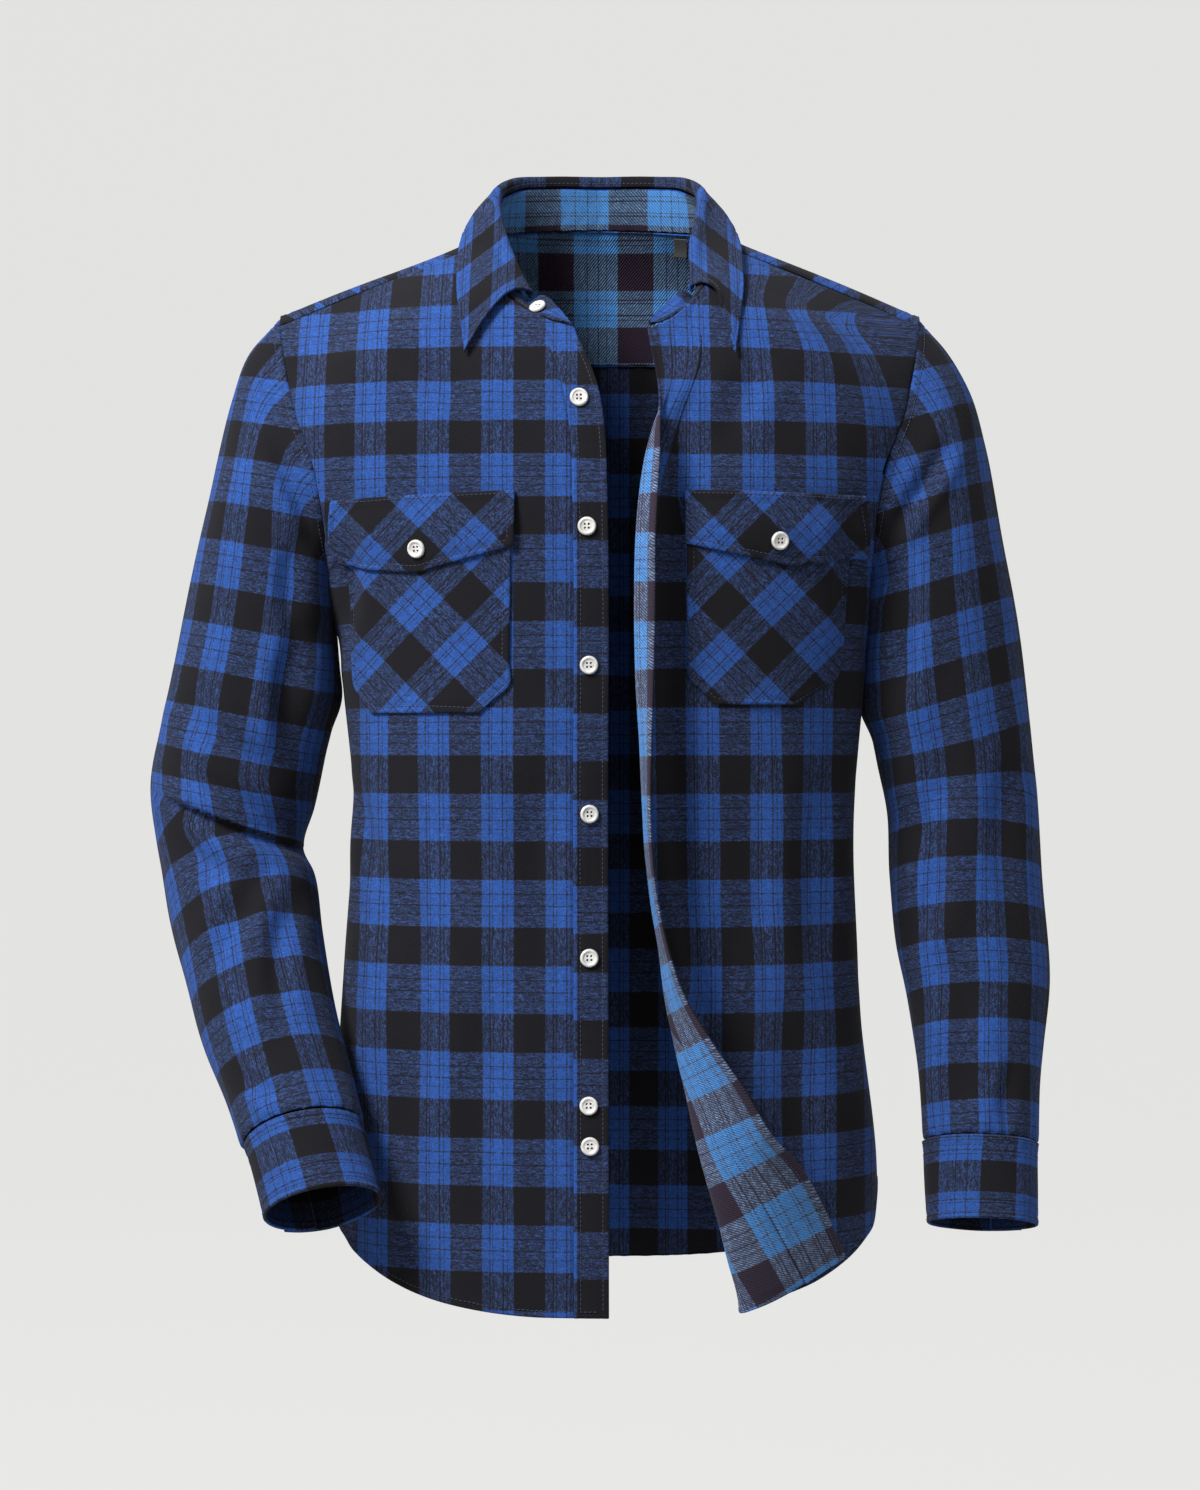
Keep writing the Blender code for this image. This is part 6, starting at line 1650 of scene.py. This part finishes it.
def sew(name, rows, finish):
    """All of a piece's stitch rows as one object."""
    verts, faces, total = [], [], 0
    for v, f in rows:
        verts.append(v)
        faces.append(f + total)
        total += len(v)
    verts, faces = np.concatenate(verts), np.concatenate(faces)
    four = faces[:, 0] != faces[:, 3]
    tris = np.concatenate([faces[:, :3], faces[four][:, [0, 2, 3]]])
    a, b, c = (verts[tris[:, k]] for k in range(3))
    open_tris = np.linalg.norm(np.cross(b - a, c - a), axis=-1) > 0
    obj = mesh_object(name, verts, tris[open_tris], [finish])
    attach(obj, "root")
    return obj


# rows of stitches: piece, edge, distance in from it, and how much of each end is left out
SEWING = [
    ("front_right", "bottom", 0.0050, (0.004, 0.0)), ("band_right", "bottom", 0.0050, (0.003, 0.003)),
    ("band_right", "left", 0.0050, (0.005, 0.004)), ("band_right", "right", 0.0040, (0.005, 0.004)),
    ("front_left", "bottom", 0.0050, (0.0, 0.004)), ("back", "bottom", 0.0050, (0.004, 0.004)),
    ("yoke", "top", 0.0018, (0.003, 0.003)), ("yoke", "bottom", 0.0018, (0.003, 0.003)),
    ("collar_leaf", "left", 0.0055, (0.004, 0.0055)), ("collar_leaf", "right", 0.0055, (0.004, 0.0055)),
    ("collar_leaf", "top", 0.0055, (0.0055, 0.0055)), ("collar_leaf", "bottom", 0.0020, (0.004, 0.004)),
    ("collar_stand", "bottom", 0.0020, (0.003, 0.003)), ("collar_stand", "left", 0.0030, (0.003, 0.003)),
    ("collar_stand", "right", 0.0030, (0.003, 0.003)),
]
SIDE_SEWING = (  # the same for pieces that each side has
    ("sleeve", "bottom", 0.0064, (0.0, 0.0)),
    ("cuff", "bottom", 0.0018, (0.003, 0.003)), ("cuff", "bottom", 0.0080, (0.003, 0.003)),
    ("cuff", "top", 0.0050, (0.005, 0.005)), ("cuff", "right", 0.0050, (0.005, 0.005)),
    ("pocket", "bottom", 0.0050, (0.005, 0.005)), ("pocket", "left", 0.0050, (0.004, 0.0)),
    ("pocket", "right", 0.0050, (0.004, 0.0)),
    ("flap", "bottom", 0.0050, (0.005, 0.005)), ("flap", "left", 0.0050, (0.005, 0.002)),
    ("flap", "right", 0.0050, (0.005, 0.002)), ("flap", "top", 0.0030, (0.002, 0.002)),
)
SEWING += [(f"{piece}_{word}", *how) for word in SIDES.values() for piece, *how in SIDE_SEWING]
# the same for the placket, whose wrong side shows, and the heights of its buttonholes
PLACKET_SEWING = (("left", 0.0040, (0.005, 0.004)), ("right", 0.0030, (0.005, 0.004)))
BUTTONHOLES = (-0.1405, -0.2150, -0.2980, -0.3960, -0.4950, -0.5900)


def plain_finish(name, colour, rough, coat=0.0, sheen=0.0):
    """A finish of one colour."""
    mat, shader = principled(name)
    set_sockets(shader, Base_Color=(*colour, 1), Roughness=rough, Coat_Weight=coat,
                Coat_Roughness=0.12, Sheen_Weight=sheen)
    return mat


THREAD = plain_finish("thread_navy", (0.010, 0.016, 0.045), 0.7)
PALE_THREAD = plain_finish("thread_pale", (0.022, 0.040, 0.085), 0.7)
for name in made:
    rows = [stitch_row(inset_line(*row)) for row in SEWING if row[0] == name]
    if rows:
        sew(name + "_stitches", rows, THREAD)


def through(line, thick):
    """The same line on the other side of the cloth."""
    points, normals = line
    return np.stack([points - normals * thick, -normals])


def slit(centre, way, normal, half=0.0080):
    """A worked buttonhole: close stitches across the way on both sides of a slit, barred at its ends."""
    way = unit(way)
    across = np.cross(normal, way)

    def stitch(middle, reach_out, long, wide):
        ends = np.array([middle - across * reach_out, middle, middle + across * reach_out])
        return stitch_row(np.stack([ends, np.array([normal] * 3)]), reach_out, long, wide)

    rows = [stitch(centre + way * at + across * hand * 0.00095, 0.00072, 0.00135, 0.00026)
            for hand in (-1, 1) for at in np.linspace(-half, half, 33)]
    return rows + [stitch(centre + way * (end * (half + 0.0003) + k * 0.0004), 0.0018, 0.0034, 0.00028)
                   for end in (-1, 1) for k in (-1, 0, 1)]


points, normals = faces_of["placket_left"]
rows = [stitch_row(through(inset_line("placket_left", *row), BAND_T), wide=0.00024)
        for row in PLACKET_SEWING]
j = points.shape[1] // 2
for z in BUTTONHOLES:
    i = int(np.argmin(np.abs(points[:, j, 2] - z)))
    seat = points[i, j] - normals[i, j] * (BAND_T + 0.0001)
    rows += slit(seat, points[i + 2, j] - points[i - 2, j], -normals[i, j])
sew("placket_left_stitches", rows, PALE_THREAD)


# ---- buttons and label
def pearl_finish():
    """Off-white shell: faint cloudy bands of warmer and cooler white, under a clear gloss."""
    warm, cool = (0.34, 0.33, 0.31), (0.46, 0.455, 0.445)
    mat = plain_finish("pearl_button", warm, 0.28, 0.4)
    tree = mat.node_tree
    place = put(tree, "ShaderNodeTexCoord").outputs["Object"]
    cloud = spread_out(tree, noise(tree, place, 260.0, 3.0)["Fac"], 0.35, 0.65)
    colour = blend_colours(tree, cloud, (*warm, 1), (*cool, 1))
    tree.links.new(colour, tree.nodes["Principled BSDF"].inputs["Base Color"])
    return mat


PEARL = pearl_finish()
HOLE = plain_finish("button_hole", (0.012, 0.012, 0.016), 0.8)
# a front button's face: height at each distance from its middle
BUTTON_FACE = table("r high", (0, 0.00150), (0.0032, 0.00155), (0.0038, 0.00165), (0.0042, 0.00215),
                    (0.0048, 0.00245), (0.0054, 0.00235), (0.0058, 0.00205), (0.0061, 0.00150),
                    (0.0062, 0.00110))
OUTER_RINGS = (0.0036, 0.0040, 0.0044, 0.0048, 0.0053, 0.0058, 0.0061, 0.0062)
PIT_PLACE, PIT_DEEP, PIT_EDGE = 0.00128, 0.0012, (0.00055, 0.00078)
DARK_R = 0.00068  # a pit is dark inside this radius


def button(node, seat, out, radius=BUTTON_R):
    """A four-hole shirt button turned about its axis: rounded rim, dished middle, four sunk holes.

    Heights over a polar grid: a raised ring by the edge, a shallow dish inside it, and four round
    pits round the middle whose floors show the dark cloth and thread.
    """
    r = np.concatenate([np.linspace(0, BUTTON_FACE["r"][1], 21), OUTER_RINGS])
    a = np.arange(64) / 64 * 2 * math.pi
    x, y = r[:, None] * np.cos(a), r[:, None] * np.sin(a)
    pits = np.array([(i, j) for i in (-1, 1) for j in (-1, 1)]) * PIT_PLACE
    near = np.min([np.hypot(x - u, y - v) for u, v in pits], 0)
    tall = straight(BUTTON_FACE, "high", r)[:, None] - PIT_DEEP * (1 - ease(near, *PIT_EDGE))
    top = np.stack([x, y, tall], -1)
    low = 0 * x[:3] + np.array([[0.0007], [0.0003], [0.0]])
    under = np.stack([x[[-1, -1, -3]], y[[-1, -1, -3]], low], -1)
    local = np.concatenate([top, under]) * (radius / BUTTON_R)
    rows, cols = local.shape[:2]
    z = unit(np.array(out, float))
    e = unit(np.cross((0, 0, 1.0), z))
    verts = seat + local.reshape(-1, 3) @ np.stack([e, np.cross(z, e), z])
    verts = np.concatenate([verts, [seat]])
    ids, quads = turned_quads(rows, cols)
    quads = quads[cols:]  # the first ring's are triangles, made below
    dark = near[:-1].ravel()[cols:] < DARK_R
    dark = np.append(dark, np.zeros(len(quads) - len(dark), bool))
    tris = np.concatenate([quads[:, :3], quads[:, [0, 2, 3]]])
    middle = np.stack([0 * ids[1, :-1], ids[1, :-1], ids[1, 1:]], 1)
    last = np.stack([ids[-1, :-1], 0 * ids[-1, :-1] + rows * cols, ids[-1, 1:]], 1)
    used, faces = np.unique(np.concatenate([tris, middle, last]), return_inverse=True)
    slots = np.concatenate([dark, dark, np.zeros(2 * cols)]).astype(int)
    obj = mesh_object(node + "_pearl", verts[used], faces.reshape(-1, 3), [PEARL, HOLE], slots)
    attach(obj, "root")
    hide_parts(node)


def on_face(name, target):
    """The point and normal of a piece's face nearest a place, averaged over a button's width."""
    points, normals = (values.reshape(-1, 3) for values in faces_of[name])
    far = np.linalg.norm(points - target, axis=1)
    near = far < max(0.0045, far.min() * 1.2)
    n = unit(normals[near].mean(0))
    return target + n * ((points[near] - target) @ n).max(), n


# distance from the middle, and height
BAND_BUTTONS = ((0.0140, -0.1211), (0.0087, -0.2077), (0.0073, -0.3002), (0.0070, -0.3996),
                (0.0070, -0.4960), (0.0075, -0.5945), (0.0067, -0.6215))
FLAP_BUTTONS = {-1: (0.1202, -0.2215), 1: (0.1178, -0.2162)}
for number, (x, z) in enumerate(BAND_BUTTONS, 1):
    button(f"button_front_{number}", *on_face("band_right", stand_off(-1, x, z, 0.0008)))
for side, word in SIDES.items():
    place = on_chest(side, *FLAP_BUTTONS[side], FLAP_OFF + 0.0017)
    button(f"button_flap_{word}", *on_face("flap_" + word, place))
place = frame_at(stand, 1.55, 3.1)[0] + (-0.001, 0, -0.0035)
button("button_stand", *on_face("collar_stand", place), BUTTON_R * 0.95)
for side, word in SIDES.items():
    place = frame_at(CUFFS[side], 1.5, CUFFS[side].shape[1] - 2.0)[0]
    button(f"button_cuff_{word}", *on_face("cuff_" + word, place), BUTTON_R * 0.9)

# the label hangs inside the yoke, straight down from the back neck seam
TAPE = plain_finish("label_tape", (0.006, 0.006, 0.007), 0.55, 0.0, 0.15)
LABEL_HIGH, LABEL_ENDS = 0.0135, (0.775, 0.835)  # its ends are shares of the back seam
seats = [frame_at(yoke_grid(), 0.03 * ROWS_YOKE, TOP_ARM + COLS_BACK * share)
         for share in np.linspace(*LABEL_ENDS, 4)]
down = np.array([0, 0.35, -0.94]) * LABEL_HIGH
label = np.array([[point - out * (CLOTH + 0.0012) + down * k for point, out in seats[::-1]]
                  for k in np.linspace(0, 1, 4)])
sideways, up = run_across(label)
grid = fine(with_cut(label, sideways, up), step=0.0008, rims=(False, False))
bow = 0.0007 * np.sin(math.pi * np.linspace(0, 1, grid.shape[0]))[:, None, None]
bowed = grid[..., :3] - face_normals(grid[..., :3], False) * bow
made["neck_label"] = cloth("neck_label_tape", bowed, grid[..., 3:5], 0.0006, (TAPE, TAPE), flip=True)

# each cloth piece hangs from the root, and its part from model.glb is hidden
for name, obj in made.items():
    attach(obj, "root")
    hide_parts(name)


# ---- camera, light and floor
PIXEL = 0.0007  # metres at one pixel, in the upright plane through the origin
CAMERA_DISTANCE, CAMERA_Z, HIGH_PIXELS, SENSOR = 2.6, -0.3535, 1490, 36
lens = bpy.data.cameras.new("camera")
lens.sensor_fit, lens.sensor_height, lens.sensor_width = "VERTICAL", SENSOR, SENSOR
lens.lens = SENSOR * CAMERA_DISTANCE / (HIGH_PIXELS * PIXEL)
camera = bpy.data.objects.new("camera", lens)
camera.location = (0, -CAMERA_DISTANCE, CAMERA_Z)
camera.rotation_euler = (math.pi / 2, 0, 0)
bpy.context.scene.collection.objects.link(camera)
bpy.context.scene.camera = camera
bpy.context.scene.view_settings.view_transform = "Standard"


def lamp(name, place, target, size, watts):
    """A round soft light at a place, turned to its target."""
    light = bpy.data.lights.new(name, "AREA")
    light.shape, light.size, light.energy = "DISK", size, watts
    obj = bpy.data.objects.new(name, light)
    obj.location = place
    x, y, z = np.array(target, float) - place
    obj.rotation_euler = (math.atan2(np.hypot(x, y), -z), 0, math.atan2(y, x) - math.pi / 2)
    bpy.context.scene.collection.objects.link(obj)


lamp("key_light", (-1.6, -1.8, 1.8), (0, 0, -0.35), 1.1, 225)
world = bpy.data.worlds.new("studio")
world.use_nodes = True
world.node_tree.nodes["Background"].inputs["Color"].default_value = (0.80, 0.81, 0.80, 1)
world.node_tree.nodes["Background"].inputs["Strength"].default_value = 0.95
bpy.context.scene.world = world


def studio_floor():
    """A round pale floor whose rim sweeps up into a wall: one profile turned about the vertical."""
    turn = np.linspace(0, math.pi / 2, 13)
    r = np.concatenate([[0.01, 1.5, 3.0], 4.0 + 1.5 * np.sin(turn), [5.5]])
    z = np.concatenate([[0, 0, 0], 1.5 - 1.5 * np.cos(turn), [5.0]]) - 1.25
    a = np.linspace(0, 2 * math.pi, 65)[:-1]
    verts = np.stack([r[:, None] * np.cos(a), r[:, None] * np.sin(a), z[:, None] + 0 * a], -1)
    _ids, faces = turned_quads(*verts.shape[:2])
    mat, shader = principled("studio_grey")
    set_sockets(shader, Base_Color=(0.06, 0.06, 0.06, 1), Roughness=0.9,
                Emission_Color=(0.685, 0.685, 0.670, 1), Emission_Strength=1.0)
    mesh_object("studio_floor", verts.reshape(-1, 3), faces, [mat])


studio_floor()
